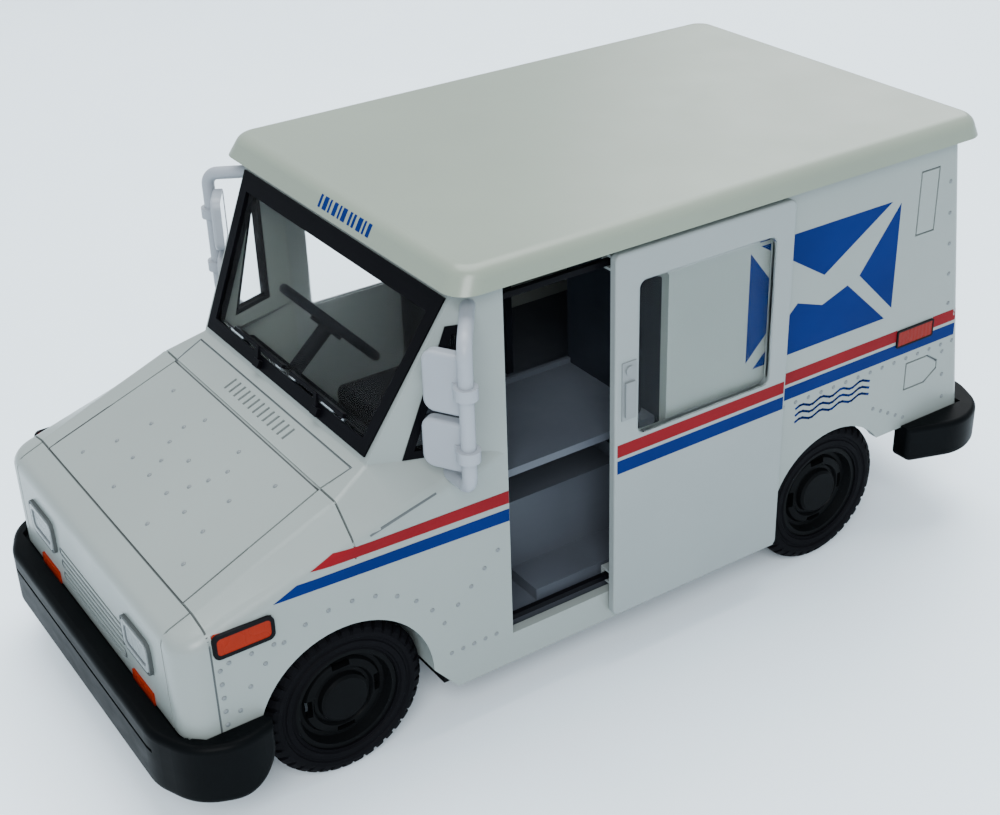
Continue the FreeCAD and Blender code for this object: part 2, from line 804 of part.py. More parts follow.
def doors():
    for side, front_y, turn in (("left", D["left_door_y"], lambda thing: thing), ("right", D["right_door_y"], mirrored)):
        panel, glass, latch = door(side, front_y)
        node(f"door_{side}", turn(panel))
        node(f"door_window_{side}", turn(glass))
        node(f"door_latch_{side}", turn(latch))


def rails():
    x_range = (D["rail_x"], D["rail_x"] + D["rail_thick"])
    y_range = (D["opening_front_y"], D["opening_rear_y"])
    pair("door_rails", group(box(x_range, y_range, (low, low + D["rail_thick"])) for low in (rail_low_z(), rail_high_z())))


# ---------------------------------------------------------------- chassis and bumpers


def chassis():
    half = D["frame_half"]
    frame_z = (D["frame_low_z"], D["frame_high_z"])
    pan = box((-25.1, 25.1), (-27.4, 21.8), (D["sill_z"], D["sill_z"] + 1.2))
    pieces = [pan]
    for riser in ((-27.4, -26.2), (20.6, 21.8)):
        pieces.append(box((-half, half), riser, (D["sill_z"], D["frame_high_z"])))
    pieces.append(box((-half, half), (-60.2, -26.2), frame_z))
    pieces.append(box((-half, half), (20.6, 58.6), frame_z))
    axle_z = D["wheel_radius"] - D["ride_height"]
    for axle_y in (D["front_axle_y"], D["rear_axle_y"]):
        for x in (12.4, -17.9):
            pieces.append(box((x, x + 5.5), (axle_y - 2.4, axle_y + 2.4), (axle_z - 2.2, D["frame_low_z"] + 0.5)))
    bores = []
    for axle_y in (D["front_axle_y"], D["rear_axle_y"]):
        bores.append(cylinder("X", (-20, axle_y, axle_z), D["axle_radius"] + D["axle_play"], 40))
    screw_holes = [cylinder("Z", (x, y, 3), SCREW_RADIUS, 4) for x, y in TUB_SCREWS]
    screw_holes += [cylinder("Z", (x, y, D["sill_z"] - 1), 1.75, 1 + SCREW_RECESS) for x, y in TUB_SCREWS]
    screw_holes += [cylinder("Z", (x, y, 10), SCREW_RADIUS, 3) for x, y in BODY_SCREWS]
    node("chassis_base", cut(fuse(*pieces), *bores, *screw_holes))


def screw(x, y, seat_z):
    """A slotted screw driven upwards, its head under seat_z."""
    head = cylinder("Z", (x, y, seat_z - 0.7), 1.6, 0.7)
    slot = box((x - 1.2, x + 1.2), (y - 0.2, y + 0.2), (seat_z - 0.8, seat_z - 0.35))
    shank = cylinder("Z", (x, y, seat_z - 0.3), SCREW_RADIUS, 3.3)
    return cut(fuse(head, shank), slot)


def screws():
    pieces = [screw(x, y, D["sill_z"] + SCREW_RECESS) for x, y in TUB_SCREWS]
    pieces += [screw(x, y, D["frame_low_z"]) for x, y in BODY_SCREWS]
    node("chassis_screws", group(pieces))


def bumper_outline(half, flare, far_y, near_y, corner):
    """Left half, then right half, of a wrap-round bumper's plan. Its outer face is at far_y and its arms end at
    near_y, half apart from the middle; the corners stand out further by the flare."""
    sign = 1 if size(near_y).value > size(far_y).value else -1
    wide = half + flare
    left = [
        (wide - corner, far_y),
        (wide - corner * 0.3, far_y + sign * corner * 0.3),
        (wide, far_y + sign * corner),
        (half, near_y),
    ]
    return left + [(-x, y) for x, y in reversed(left)]


def front_bumper():
    half = D["front_bumper_half"]
    z_low = D["front_bumper_low_z"]
    z_high = D["front_bumper_high_z"]
    body = SketchedBody("FrontBumper")
    outline = bumper_outline(half, D["front_bumper_flare"], D["front_bumper_y"], -51.3, size(8.0))
    body.pad("XY", outline, z_low, z_high)
    body.round(7.0, lambda edge: span(edge, "z") > 1 and ends(edge)[0].y < -54)
    body.round(5.2, lambda edge: span(edge, "x") > 50 and edge.CenterOfMass.y > -52 and edge.CenterOfMass.z < 6)
    body.round(0.9, lambda edge: span(edge, "z") < 0.01 and span(edge, "x") < 50 and edge.CenterOfMass.y < -53.5)
    body.pocket("XY", rectangle((-25.7, 25.7), (-60.2, -50)), z_low - 1, z_high + 1)
    nose = D["nose_y"] - 0.45
    nose_seat = [(26.8, -50), (26.8, nose + 2.3), (24.7, nose), (-24.7, nose), (-26.8, nose + 2.3), (-26.8, -50)]
    body.pocket("XY", nose_seat, D["nose_bottom_z"] - 0.2, z_high + 1)
    groove = rectangle((-22, 22), (D["front_bumper_y"] - 0.5, D["front_bumper_y"] + 0.4))
    body.pocket("XY", groove, 9.7, 10.2)
    node("front_bumper", body.body)


def rear_bumper():
    half = D["rear_bumper_half"]
    z_low = D["rear_bumper_low_z"]
    z_high = D["rear_bumper_high_z"]
    body = SketchedBody("RearBumper")
    outline = bumper_outline(half, D["rear_bumper_flare"], D["rear_bumper_y"], 47.3, size(8.0))
    body.pad("XY", outline, z_low, z_high)
    body.round(7.0, lambda edge: span(edge, "z") > 1 and ends(edge)[0].y > 54)
    body.round(1.2, lambda edge: span(edge, "x") > 50 and edge.CenterOfMass.y < 48 and edge.CenterOfMass.z < 12)
    body.round(0.7, lambda edge: span(edge, "z") < 0.01 and span(edge, "x") < 50 and edge.CenterOfMass.y > 49)
    body.pocket("XY", rectangle((-25.7, 25.7), (44, 58.6)), z_low - 1, z_high + 1)
    body.pocket("XY", rectangle((-26.8, 26.8), (44, D["rear_foot_y"] + 0.15)), D["rear_foot_z"] - 0.1, z_high + 1)
    node("rear_bumper", body.body)


# ---------------------------------------------------------------- running gear


def tyre(axle_y):
    """A treaded tyre on the left, drawn about its own axle line."""
    body = SketchedBody("Tyre")
    outer = D["wheel_radius"]
    inner = D["rim_radius"]
    inside = -D["tyre_wide"]
    body.revolve([
        (inside, inner),
        (0, inner),
        (0, outer - 1.3),
        (-0.7, outer - 0.4),
        (-1.5, outer),
        (inside + 1.5, outer),
        (inside + 0.7, outer - 0.4),
        (inside, outer - 1.3),
    ])
    notch = body.pocket("XZ", rectangle((-1.9, 0.5), (outer - 0.45, outer + 1)), -0.28, 0.28)
    body.pattern(notch, 36)
    centre = body.pocket("XZ", rectangle((inside - 0.5, inside + 1.9), (outer - 0.45, outer + 1)), -0.28, 0.28)
    body.pattern(centre, 36)
    place(body.body, D["wheel_face_x"], axle_y, D["wheel_radius"])
    return body.body


def rim(axle_y):
    """A steel-look rim with a flat hub cap, a rolled ring and four slots, drawn about its own axle line."""
    body = SketchedBody("Rim")
    outer = D["rim_radius"]
    bore = D["axle_radius"]
    inside = -D["tyre_wide"]
    body.revolve([
        (inside + 0.4, outer),
        (inside + 0.4, outer - 0.9),
        (-2.4, outer - 0.9),
        (-2.4, 2.6),
        (inside + 1.2, 2.6),
        (inside + 1.2, bore),
        (-1.2, bore),
        (-1.2, 0),
        (-0.35, 0),
        (-0.35, 2.8),
        (-0.6, 3.15),
        (-1.3, 3.3),
        (-1.4, 3.7),
        (-1.0, 4.0),
        (-1.15, 4.9),
        (-1.6, 5.2),
        (-1.55, outer - 1.0),
        (-0.35, outer - 0.6),
        (-0.35, outer),
    ])
    slot = body.pocket("YZ", rectangle((-1.15, 1.15), (4.1, 4.95)), -3, 0)
    body.pattern(slot, 4)
    place(body.body, D["wheel_face_x"], axle_y, D["wheel_radius"])
    return body.body


def running_gear():
    for end, axle_y in (("front", D["front_axle_y"]), ("rear", D["rear_axle_y"])):
        reach = D["wheel_face_x"] - 1.2
        node(f"{end}_axle", cylinder("X", (-reach, axle_y, D["wheel_radius"]), D["axle_radius"], reach * 2))
        pair(f"{end}_tyre", tyre(axle_y))
        pair(f"{end}_rim", rim(axle_y))


# ---------------------------------------------------------------- cab interior


def interior():
    floor = D["floor_z"]
    under = floor - 1
    wall_y = D["bulkhead_y"]
    cargo_low = 20.9
    pieces = [
        box((-24.2, 24.2), (-26.0, wall_y + 1.2), (under, floor)),
        box((-24.2, 24.2), (-26.0, -25.0), (under, 25.0)),
        box((-24.2, 24.2), (-29.8, -25.0), (24.0, 25.0)),
        box((-24.2, 24.2), (wall_y, wall_y + 1.2), (under, cargo_low + 1)),
        box((-25.2, 25.2), (wall_y, 56.2), (cargo_low, cargo_low + 1)),
        box((-6, 17), (-14, wall_y), (floor - 0.5, 20)),
        box((17, 22.8), (-12, wall_y), (floor - 0.5, 10.2)),
    ]
    pieces += [cylinder("Z", (x, y, D["sill_z"] + 1.2), POST_RADIUS, 2.3) for x, y in TUB_SCREWS]
    holes = [cylinder("Z", (x, y, D["sill_z"] + 1), SCREW_RADIUS, 3.0) for x, y in TUB_SCREWS]
    node("interior_tub", cut(fuse(*pieces), *holes))
    plate = box((-25.2, 25.2), (wall_y, wall_y + 1.0), (cargo_low + 1, 55.6))
    doorway = box((-8.0, 6.4), (wall_y - 1, wall_y + 2), (cargo_low, 51.0))
    node("bulkhead", cut(plate, doorway))
    tray = box((6.4, 24.3), (-17.4, wall_y), (D["tray_z"] - 1, D["tray_z"]))
    lip = box((6.4, 7.0), (-17.4, wall_y), (D["tray_z"] - 0.5, D["tray_z"] + 0.7))
    leg = box((21.0, 24.0), (wall_y - 2.8, wall_y), (10.2, D["tray_z"] - 0.5))
    node("mail_tray", fuse(tray, lip, leg))


def dashboard_form():
    profile = [(-31.6, 27.0), (-31.9, 33.0), (-30.6, 34.4), (-27.4, 33.6), (-25.6, 31.0), (-26.4, 25.0), (-29.8, 25.0)]
    return prism("YZ", profile, -19.2, 19.2)


def steering():
    hub = Vector(-9.0, -21.2, 37.6)
    axis = Vector(0, 0.74, 0.67).normalize()
    turn = Rotation(Z_AXIS, axis)
    radius = 7.2
    wheel = doc.addObject("Part::Torus", "WheelRim")
    wheel.Radius1 = radius
    wheel.Radius2 = 0.65
    wheel.Placement = Placement(hub, turn)
    boss = doc.addObject("Part::Cylinder", "WheelHub")
    boss.Radius = 2.4
    boss.Height = 1.6
    boss.Placement = Placement(hub - axis * 1.1, turn)
    spokes = []
    for angle in (90, 210, 330):
        spoke = doc.addObject("Part::Box", "Spoke")
        spoke.Length = radius - 0.1
        spoke.Width = 1.5
        spoke.Height = 0.8
        local = Placement(Vector(0, 0, -0.4), Rotation(Z_AXIS, angle)).multiply(
            Placement(Vector(0, -0.75, 0), Rotation())
        )
        spoke.Placement = Placement(hub, turn).multiply(local)
        spokes.append(spoke)
    node("steering_wheel", fuse(wheel, boss, *spokes))
    column = doc.addObject("Part::Cylinder", "Column")
    column.Radius = 1.0
    column.Height = 8.0
    column.Placement = Placement(hub - axis * 9.1, turn)
    node("steering_column", cut(column, dashboard_form()))


def seat():
    """The right-hand driver's seat: pedestal, cushion and backrest."""
    pedestal = box((-19, -11), (-13, -5), (D["floor_z"], 17.5))
    cushion = fillet(box((-21, -9), (-15.5, -3), (17.5, 21.5)), 1.2, lambda edge: True)
    back = fillet(box((-21, -9), (-4.4, -1.4), (19.5, 41)), 1.2, lambda edge: True)
    node("driver_seat", fuse(pedestal, cushion, back))


# ---------------------------------------------------------------- mirrors


def mirror_bracket():
    """A bent tube from the roof-side post, down past both heads and back to the belt."""
    x = D["mirror_post_x"].value
    y = D["mirror_post_y"].value
    radius = D["mirror_tube_radius"].value
    route = [Vector(24.6, -21.4, 53.6), Vector(x, y, 52.3), Vector(x, y, 35.0), Vector(24.0, -25.0, 33.4)]
    bend = 1.8
    edges = []
    start = route[0]
    for before, corner, after in zip(route, route[1:], route[2:]):
        arrive = (before - corner).normalize()
        leave = (after - corner).normalize()
        half_turn = arrive.getAngle(leave) / 2
        reach = bend / math.tan(half_turn)
        first = corner + arrive * reach
        last = corner + leave * reach
        centre = corner + (arrive + leave).normalize() * (bend / math.sin(half_turn))
        middle = centre + (corner - centre).normalize() * bend
        edges.append(Part.LineSegment(start, first).toShape())
        edges.append(Part.Arc(first, middle, last).toShape())
        start = last
    edges.append(Part.LineSegment(start, route[-1]).toShape())
    path = Part.Wire(edges)
    circle = Part.makeCircle(radius, route[0], route[1] - route[0])
    tube = path.makePipeShell([Part.Wire([circle])], True, False)
    feature = doc.addObject("Part::Feature", "Tube")
    feature.Shape = tube
    feature.Placement = Placement()
    return cut(feature, body_form(0))


def mirror_head(middle, wide, tall):
    """A rounded mirror housing on the post with its glass facing the rear."""
    facing = Vector(0.5, -0.866, 0).normalize()
    across = Vector(0.866, 0.5, 0).normalize()
    frame = Placement(middle, Rotation(across, Z_AXIS, across.cross(Z_AXIS), "XYZ"))
    thick = 1.3
    shell = prism(frame, rectangle((-wide / 2, wide / 2), (-tall / 2, tall / 2)), -thick / 2, thick / 2)

    def corner(edge):
        return edge.Length < thick + 0.01 and edge.Length > thick - 0.01

    housing = fillet(fillet(shell, 1.4, corner), 0.45, lambda edge: front_edge(edge, middle, facing))
    inset = rectangle((0.5 - wide / 2, wide / 2 - 0.5), (0.5 - tall / 2, tall / 2 - 0.5))
    housing = cut(housing, prism(frame, inset, -thick / 2 - 0.2, 0.3 - thick / 2))
    glass = prism(frame, inset, -thick / 2 + 0.05, 0.3 - thick / 2)
    post = Vector(D["mirror_post_x"].value, D["mirror_post_y"].value, middle.z)
    clamp = doc.addObject("Part::Cylinder", "Clamp")
    clamp.Radius = D["mirror_tube_radius"].value + 0.5
    clamp.Height = 1.4
    clamp.Placement = Placement(post - Vector(0, 0, 0.7), Rotation())
    bridge = box((post.x - 2.6, post.x), (post.y - 0.5, post.y + 0.5), (middle.z - 0.5, middle.z + 0.5))
    bore = cylinder("Z", (post.x, post.y, middle.z - 2), D["mirror_tube_radius"], 4)
    clear = prism(frame, inset, -thick - 3, 0.3 - thick / 2)
    return cut(fuse(housing, cut(fuse(clamp, bridge), clear)), bore), glass


def front_edge(edge, middle, facing):
    return all((p - middle).dot(facing) > 0.6 for p in ends(edge))


def mirrors():
    pair("mirror_bracket", mirror_bracket())
    panes = []
    for place_name, middle, wide, tall in (
        ("upper", Vector(28.1, -26.7, 46.9), 5.6, 7.4),
        ("lower", Vector(27.9, -26.8, 39.2), 6.0, 6.2),
    ):
        housing, glass = mirror_head(middle, wide, tall)
        pair(f"mirror_{place_name}", housing)
        panes.append(glass)
    pair("mirror_glasses", group(panes))


# ---------------------------------------------------------------- assembly


def raise_onto_wheels():
    """Everything but the axles and wheels goes up by the ride height; a node's mirrored twin follows it."""
    originals = list(NODES.values())
    for label, thing in NODES.items():
        grounded = any(word in label for word in ("axle", "tyre", "rim_"))
        follows = thing.TypeId == "Part::Mirroring" and thing.Source in originals
        if not grounded and not follows:
            lift(thing)


def build():
    body_shell()
    roof_cap()
    glazing()
    for name, pivot_x in (("left", 9.0), ("right", -6.0)):
        node(f"wiper_{name}", wiper(pivot_x))
    lamps()
    rear_door()
    doors()
    rails()
    chassis()
    screws()
    front_bumper()
    rear_bumper()
    running_gear()
    interior()
    node("dashboard", dashboard_form())
    steering()
    seat()
    mirrors()
    raise_onto_wheels()
    doc.recompute()


def check():
    """Stops the build if any object or any finished piece is broken."""
    for thing in doc.Objects:
        if "Invalid" in thing.State or "Error" in thing.State:
            raise RuntimeError(f"{thing.Name} ({thing.Label}) did not compute")
    for label, thing in NODES.items():
        if thing.Shape.isNull() or not thing.Shape.isValid() or not thing.Shape.Solids:
            raise RuntimeError(f"{label} is not a valid solid")


def export():
    os.makedirs("parts", exist_ok=True)
    for label, thing in NODES.items():
        thing.Shape.exportStep(f"parts/{label}.step")


build()
check()
export()
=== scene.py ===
import json
import math

import bmesh
import bpy
from mathutils import Matrix, Vector
from mathutils.bvhtree import BVHTree


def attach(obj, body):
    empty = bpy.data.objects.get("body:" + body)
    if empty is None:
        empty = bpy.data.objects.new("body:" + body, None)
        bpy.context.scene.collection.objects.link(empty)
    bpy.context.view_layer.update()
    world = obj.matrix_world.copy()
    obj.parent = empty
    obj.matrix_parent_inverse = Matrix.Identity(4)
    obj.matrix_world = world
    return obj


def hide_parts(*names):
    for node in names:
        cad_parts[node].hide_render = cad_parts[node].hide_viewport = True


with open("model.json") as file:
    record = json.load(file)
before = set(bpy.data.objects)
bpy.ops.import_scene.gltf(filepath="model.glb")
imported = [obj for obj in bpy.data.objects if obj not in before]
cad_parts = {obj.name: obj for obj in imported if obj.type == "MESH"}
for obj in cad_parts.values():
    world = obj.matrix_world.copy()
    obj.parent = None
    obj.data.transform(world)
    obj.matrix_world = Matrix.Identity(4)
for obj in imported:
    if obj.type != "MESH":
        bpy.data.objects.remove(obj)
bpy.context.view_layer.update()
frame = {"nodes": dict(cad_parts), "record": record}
NODES = frame["nodes"]
MM = 0.001

SIDES = {"left": 1, "right": -1}  # the sign of x on each side

# The truck's own surfaces, in millimetres. It faces -Y and its left is +X. Heights on the body are measured
# from the body's datum, which is RIDE above the ground.
RIDE = 2.5
SIDE_X = 26.6
NOSE_Y = -60.5
HOOD_FRONT_Y = -56.8
HOOD_FRONT_Z = 26.1
HOOD_SLOPE = 0.4033
HOOD_LONG = 19.5
HOOD_HALF_FRONT = 20.4
HOOD_HALF_REAR = 19.4
COWL_LONG = 4.4
COWL_FLARE = 0.38
DOOR_X = 28.0
DOOR_FRONT = {"left": -3.8, "right": -18.3}
DOOR_LONG = 27.3
DOORWAY_FRONT_Y = -18.25
DOORWAY_REAR_Y = 4.95
AXLES = {"front": -40.4, "rear": 34.4}
WHEEL_RADIUS = 10.4
WHEEL_FACE_X = 25.0


# ---------------------------------------------------------------- materials


class Nodes:
    """Short forms for building a node tree."""

    def __init__(self, name):
        self.material = bpy.data.materials.new(name)
        self.material.use_nodes = True
        self.tree = self.material.node_tree
        self.shader = self.tree.nodes["Principled BSDF"]
        self.place = self.add("ShaderNodeTexCoord").outputs["Object"]

    def add(self, kind, **values):
        node = self.tree.nodes.new(kind)
        for key, value in values.items():
            setattr(node, key, value)
        return node

    def link(self, source, target):
        self.tree.links.new(source, target)

    def noise(self, size_mm, detail, stretch=(1, 1, 1)):
        """Noise whose features are about size_mm across."""
        mapping = self.add("ShaderNodeMapping")
        mapping.inputs["Scale"].default_value = stretch
        self.link(self.place, mapping.inputs["Vector"])
        noise = self.add("ShaderNodeTexNoise")
        noise.inputs["Scale"].default_value = 1.0 / (size_mm * MM)
        noise.inputs["Detail"].default_value = detail
        self.link(mapping.outputs["Vector"], noise.inputs["Vector"])
        return noise.outputs["Fac"]

    def cells(self, size_mm):
        """Distance from the middle of cells about size_mm across."""
        cells = self.add("ShaderNodeTexVoronoi")
        cells.inputs["Scale"].default_value = 1.0 / (size_mm * MM)
        self.link(self.place, cells.inputs["Vector"])
        return cells.outputs["Distance"]

    def between(self, fac, low, high, from_low=0.3, from_high=0.7):
        """A number that runs from low to high with fac."""
        ramp = self.add("ShaderNodeMapRange")
        ends = {"From Min": from_low, "From Max": from_high, "To Min": low, "To Max": high}
        for key, value in ends.items():
            ramp.inputs[key].default_value = value
        self.link(fac, ramp.inputs["Value"])
        return ramp.outputs["Result"]

    def colours(self, fac, first, second):
        """A colour that runs from first to second over the middle of fac's range."""
        ramp = self.add("ShaderNodeValToRGB")
        for element, position, colour in zip(ramp.color_ramp.elements, (0.35, 0.65), (first, second)):
            element.position = position
            element.color = (*colour, 1)
        self.link(fac, ramp.inputs["Fac"])
        return ramp.outputs["Color"]

    def bump(self, *layers):
        """Relief from (height, depth in mm, strength) layers."""
        previous = None
        for height, depth, strength in layers:
            bump = self.add("ShaderNodeBump")
            bump.inputs["Distance"].default_value = depth * MM
            bump.inputs["Strength"].default_value = strength
            self.link(height, bump.inputs["Height"])
            if previous:
                self.link(previous, bump.inputs["Normal"])
            previous = bump.outputs["Normal"]
        self.link(previous, self.shader.inputs["Normal"])

    def set(self, **values):
        """Sets the shader's own sockets, such as Coat_Weight for Coat Weight."""
        for key, value in values.items():
            self.shader.inputs[key.replace("_", " ")].default_value = value


def shade(colour, factor):
    """The colour made lighter or darker."""
    return tuple(min(channel * factor, 1) for channel in colour)


def surface(name, colour, rough, grain_mm, grain_depth, mottle, wave_depth=0.02, **values):
    """Moulded plastic: mottled colour, uneven gloss, fine grain over a slow waviness."""
    n = Nodes(name)
    cloud = n.noise(14, 4)
    smear = n.noise(3.5, 5, (1, 1, 2.5))
    tone = n.colours(cloud, shade(colour, 1 - mottle), shade(colour, 1 + mottle * 0.4))
    n.link(tone, n.shader.inputs["Base Color"])
    n.link(n.between(smear, rough * 0.92, rough * 1.1), n.shader.inputs["Roughness"])
    n.bump((n.noise(grain_mm, 2), grain_depth, 0.7), (n.noise(6.0, 1), wave_depth, 0.5))
    n.set(**values)
    return n.material


def black(name, colour, rough, grain_mm, grain_depth):
    """Black rubber or plastic: strongly mottled and dull, so that it stays dark under soft light."""
    return surface(name, colour, rough, grain_mm, grain_depth, 0.3, Specular_IOR_Level=0.03)


def print_and_painted_shade(name, colour):
    """A thin flat layer, used for print and for painted shade: even, slightly uneven in density, with little
    shine.
    """
    return surface(name, colour, 0.45, 0.2, 0.003, 0.12, wave_depth=0.01, Specular_IOR_Level=0.04)


def paint(name, colour):
    """Sprayed satin over a casting: faint dust specks, orange peel and slow waviness."""
    n = Nodes(name)
    cloud = n.noise(22, 4)
    tone = n.colours(cloud, shade(colour, 0.965), shade(colour, 1.01))
    specks = n.cells(2.6)
    speck = n.between(specks, 1.0, 0.0, 0.02, 0.05)
    mix = n.add("ShaderNodeMix", data_type="RGBA")
    factor, first_colour, second_colour, mixed = mix.inputs[0], mix.inputs[6], mix.inputs[7], mix.outputs[2]
    n.link(speck, factor)
    n.link(tone, first_colour)
    second_colour.default_value = (*shade(colour, 0.93), 1)
    n.link(mixed, n.shader.inputs["Base Color"])
    n.link(n.between(n.noise(9.0, 2), 0.29, 0.36), n.shader.inputs["Roughness"])
    n.bump((n.noise(0.55, 2), 0.006, 0.5), (n.noise(7.0, 1), 0.03, 0.4))
    n.set(Coat_Weight=0.1, Coat_Roughness=0.2, Specular_IOR_Level=0.3)
    return n.material


def clear(name, tint):
    """Clear moulded pane: slightly smudged, with faint flow waves."""
    n = Nodes(name)
    n.link(n.between(n.noise(5.0, 5), 0.02, 0.088), n.shader.inputs["Roughness"])
    n.link(n.colours(n.noise(30, 2), shade(tint, 0.97), tint), n.shader.inputs["Base Color"])
    n.bump((n.noise(5.0, 1, (1, 1, 0.5)), 0.015, 0.35))
    n.set(Transmission_Weight=1.0, IOR=1.1, Specular_IOR_Level=0.15)
    return n.material


RIB_SCALE = 0.314  # the wave texture's scale for one rib in each unit of length


def lens(name, colour, rib_mm, rib_axis):
    """Tinted lamp plastic with moulded ribs."""
    n = Nodes(name)
    wave = n.add("ShaderNodeTexWave", wave_type="BANDS", bands_direction=rib_axis)
    wave.inputs["Scale"].default_value = RIB_SCALE / (rib_mm * MM)
    wave.inputs["Distortion"].default_value = 0.0
    n.link(n.place, wave.inputs["Vector"])
    tone = n.colours(n.noise(3.5, 1), shade(colour, 0.95), shade(colour, 1.03))
    n.link(tone, n.shader.inputs["Base Color"])
    n.link(n.between(n.noise(3.0, 1), 0.25, 0.31), n.shader.inputs["Roughness"])
    n.bump((wave.outputs["Fac"], 0.03, 0.4), (n.noise(1.2, 1), 0.004, 0.4))
    n.set(Specular_IOR_Level=0.08, Coat_Weight=0.02, Coat_Roughness=0.2)
    return n.material


def metal(name, colour, rough, streak):
    """Turned or drawn steel, streaked along one direction."""
    n = Nodes(name)
    lines = n.noise(0.25, 4, streak)
    n.link(n.colours(lines, shade(colour, 0.8), shade(colour, 1.1)), n.shader.inputs["Base Color"])
    n.link(n.between(lines, rough * 0.8, rough * 1.5), n.shader.inputs["Roughness"])
    n.bump((lines, 0.004, 0.6))
    n.set(Metallic=1.0)
    return n.material


def mirror_finish(name):
    """Silvered glass with faint smears."""
    n = Nodes(name)
    n.link(n.colours(n.noise(4, 4), (0.72, 0.74, 0.76), (0.82, 0.84, 0.86)), n.shader.inputs["Base Color"])
    n.link(n.between(n.noise(1.5, 4), 0.04, 0.14), n.shader.inputs["Roughness"])
    n.bump((n.noise(3.0, 1), 0.006, 0.3))
    n.set(Metallic=1.0)
    return n.material


DOOR_WHITE = (0.208, 0.236, 0.236)
MATERIALS = {
    "body_white": paint("body_white", (0.202, 0.230, 0.220)),
    "door_white": surface("door_white", DOOR_WHITE, 0.4, 0.5, 0.003, 0.025, Specular_IOR_Level=0.3),
    "bumper_black": black("bumper_black", (0.0018, 0.0024, 0.0028), 0.42, 0.3, 0.008),
    "pan_black": black("pan_black", (0.004, 0.004, 0.005), 0.6, 0.3, 0.012),
    "cab_grey": surface("cab_grey", (0.055, 0.064, 0.080), 0.5, 0.35, 0.012, 0.12, Specular_IOR_Level=0.35),
    "seat_black": black("seat_black", (0.004, 0.005, 0.007), 0.5, 2.0, 0.006),
    "gasket_black": black("gasket_black", (0.002, 0.002, 0.003), 0.35, 0.3, 0.008),
    "clear_pane": clear("clear_pane", (0.97, 0.985, 0.98)),
    "lamp_clear": lens("lamp_clear", (0.20, 0.225, 0.23), 0.9, "X"),
    "lamp_amber": lens("lamp_amber", (0.20, 0.011, 0.001), 0.7, "Y"),
    "lamp_red": lens("lamp_red", (0.16, 0.006, 0.003), 0.7, "Y"),
    "mirror_grey": surface("mirror_grey", (0.24, 0.262, 0.29), 0.4, 0.3, 0.004, 0.04, Specular_IOR_Level=0.3),
    "mirror_glass": mirror_finish("mirror_glass"),
    "tyre_black": black("tyre_black", (0.0032, 0.0032, 0.0042), 0.6, 0.18, 0.02),
    "rim_black": black("rim_black", (0.0032, 0.0036, 0.004), 0.38, 0.25, 0.01),
    "steel": metal("steel", (0.55, 0.55, 0.54), 0.28, (0.2, 3, 3)),
    "trim_black": black("trim_black", (0.003, 0.003, 0.004), 0.38, 0.25, 0.01),
    "latch_grey": surface("latch_grey", (0.15, 0.168, 0.172), 0.4, 0.3, 0.004, 0.05),
}
RIVET_PAINT = paint("rivet_paint", (0.125, 0.142, 0.147))
PRINT_AND_PAINTED_SHADE = {
    "ink_blue": print_and_painted_shade("ink_blue", (0.0, 0.011, 0.092)),
    "ink_red": print_and_painted_shade("ink_red", (0.155, 0.007, 0.011)),
    "ink_black": print_and_painted_shade("ink_black", (0.004, 0.004, 0.005)),
    # The last two are painted shade: dark lines laid in the grooves, slots and gaps where shade falls.
    "seam_painted_shade": print_and_painted_shade("seam_painted_shade", (0.055, 0.062, 0.062)),
    "soft_painted_shade": print_and_painted_shade("soft_painted_shade", (0.085, 0.096, 0.10)),
}

# These nodes differ in tone from the rest of their slot. The roof cap's colour is partly its own greener tint
# and partly painted shade that darkens the top.
OWN_MATERIALS = {
    "roof_cap": paint("roof_tint_and_painted_shade", (0.180, 0.210, 0.168)),
    "bulkhead": black("bulkhead_black", (0.011, 0.0135, 0.0185), 0.5, 2.0, 0.006),
    "dashboard": black("dashboard_black", (0.003, 0.0036, 0.0045), 0.5, 2.0, 0.006),
}

for part in frame["record"]["subparts"]:
    mesh = NODES[part["node"]].data
    mesh.materials.clear()
    mesh.materials.append(OWN_MATERIALS.get(part["node"], MATERIALS[part["material_slot"]]))


# ---------------------------------------------------------------- laying things on the truck's surfaces


class Face:
    """A drawing plane in millimetres: a point, its u and v directions, and the CAD nodes under it."""

    def __init__(self, origin, u, v, nodes):
        self.origin = Vector(origin) + Vector((0, 0, RIDE))
        self.u = Vector(u).normalized()
        self.v = Vector(v).normalized()
        self.normal = self.u.cross(self.v)
        self.nodes = nodes

    def at(self, u, v, out=0.0):
        """The point at (u, v), lifted off the plane by out."""
        return self.origin + self.u * u + self.v * v + self.normal * out


TREES = {}
REACH = 12.0  # how far in front of and behind a drawing plane the surface is looked for
SMALLEST_DIP = 0.04  # a shallower groove is followed, not bridged
SAME_PLACE = 0.0005


def tree_of(nodes):
    """A ray-casting tree over CAD nodes, built once for each set."""
    if nodes not in TREES:
        corners = []
        faces = []
        for name in nodes:
            mesh = NODES[name].data
            start = len(corners)
            corners += [vertex.co.copy() for vertex in mesh.vertices]
            faces += [[start + i for i in polygon.vertices] for polygon in mesh.polygons]
        TREES[nodes] = BVHTree.FromPolygons(corners, faces)
    return TREES[nodes]


def hit(face, u, v):
    """Where the surface lies under a point of the drawing plane, and its normal, in millimetres."""
    start = face.at(u, v, REACH) * MM
    place, normal, _, _ = tree_of(face.nodes).ray_cast(start, -face.normal, REACH * 2 * MM)
    if place is None:
        return face.at(u, v), face.normal
    if normal.dot(face.normal) < 0:
        normal = -normal
    return place / MM, normal


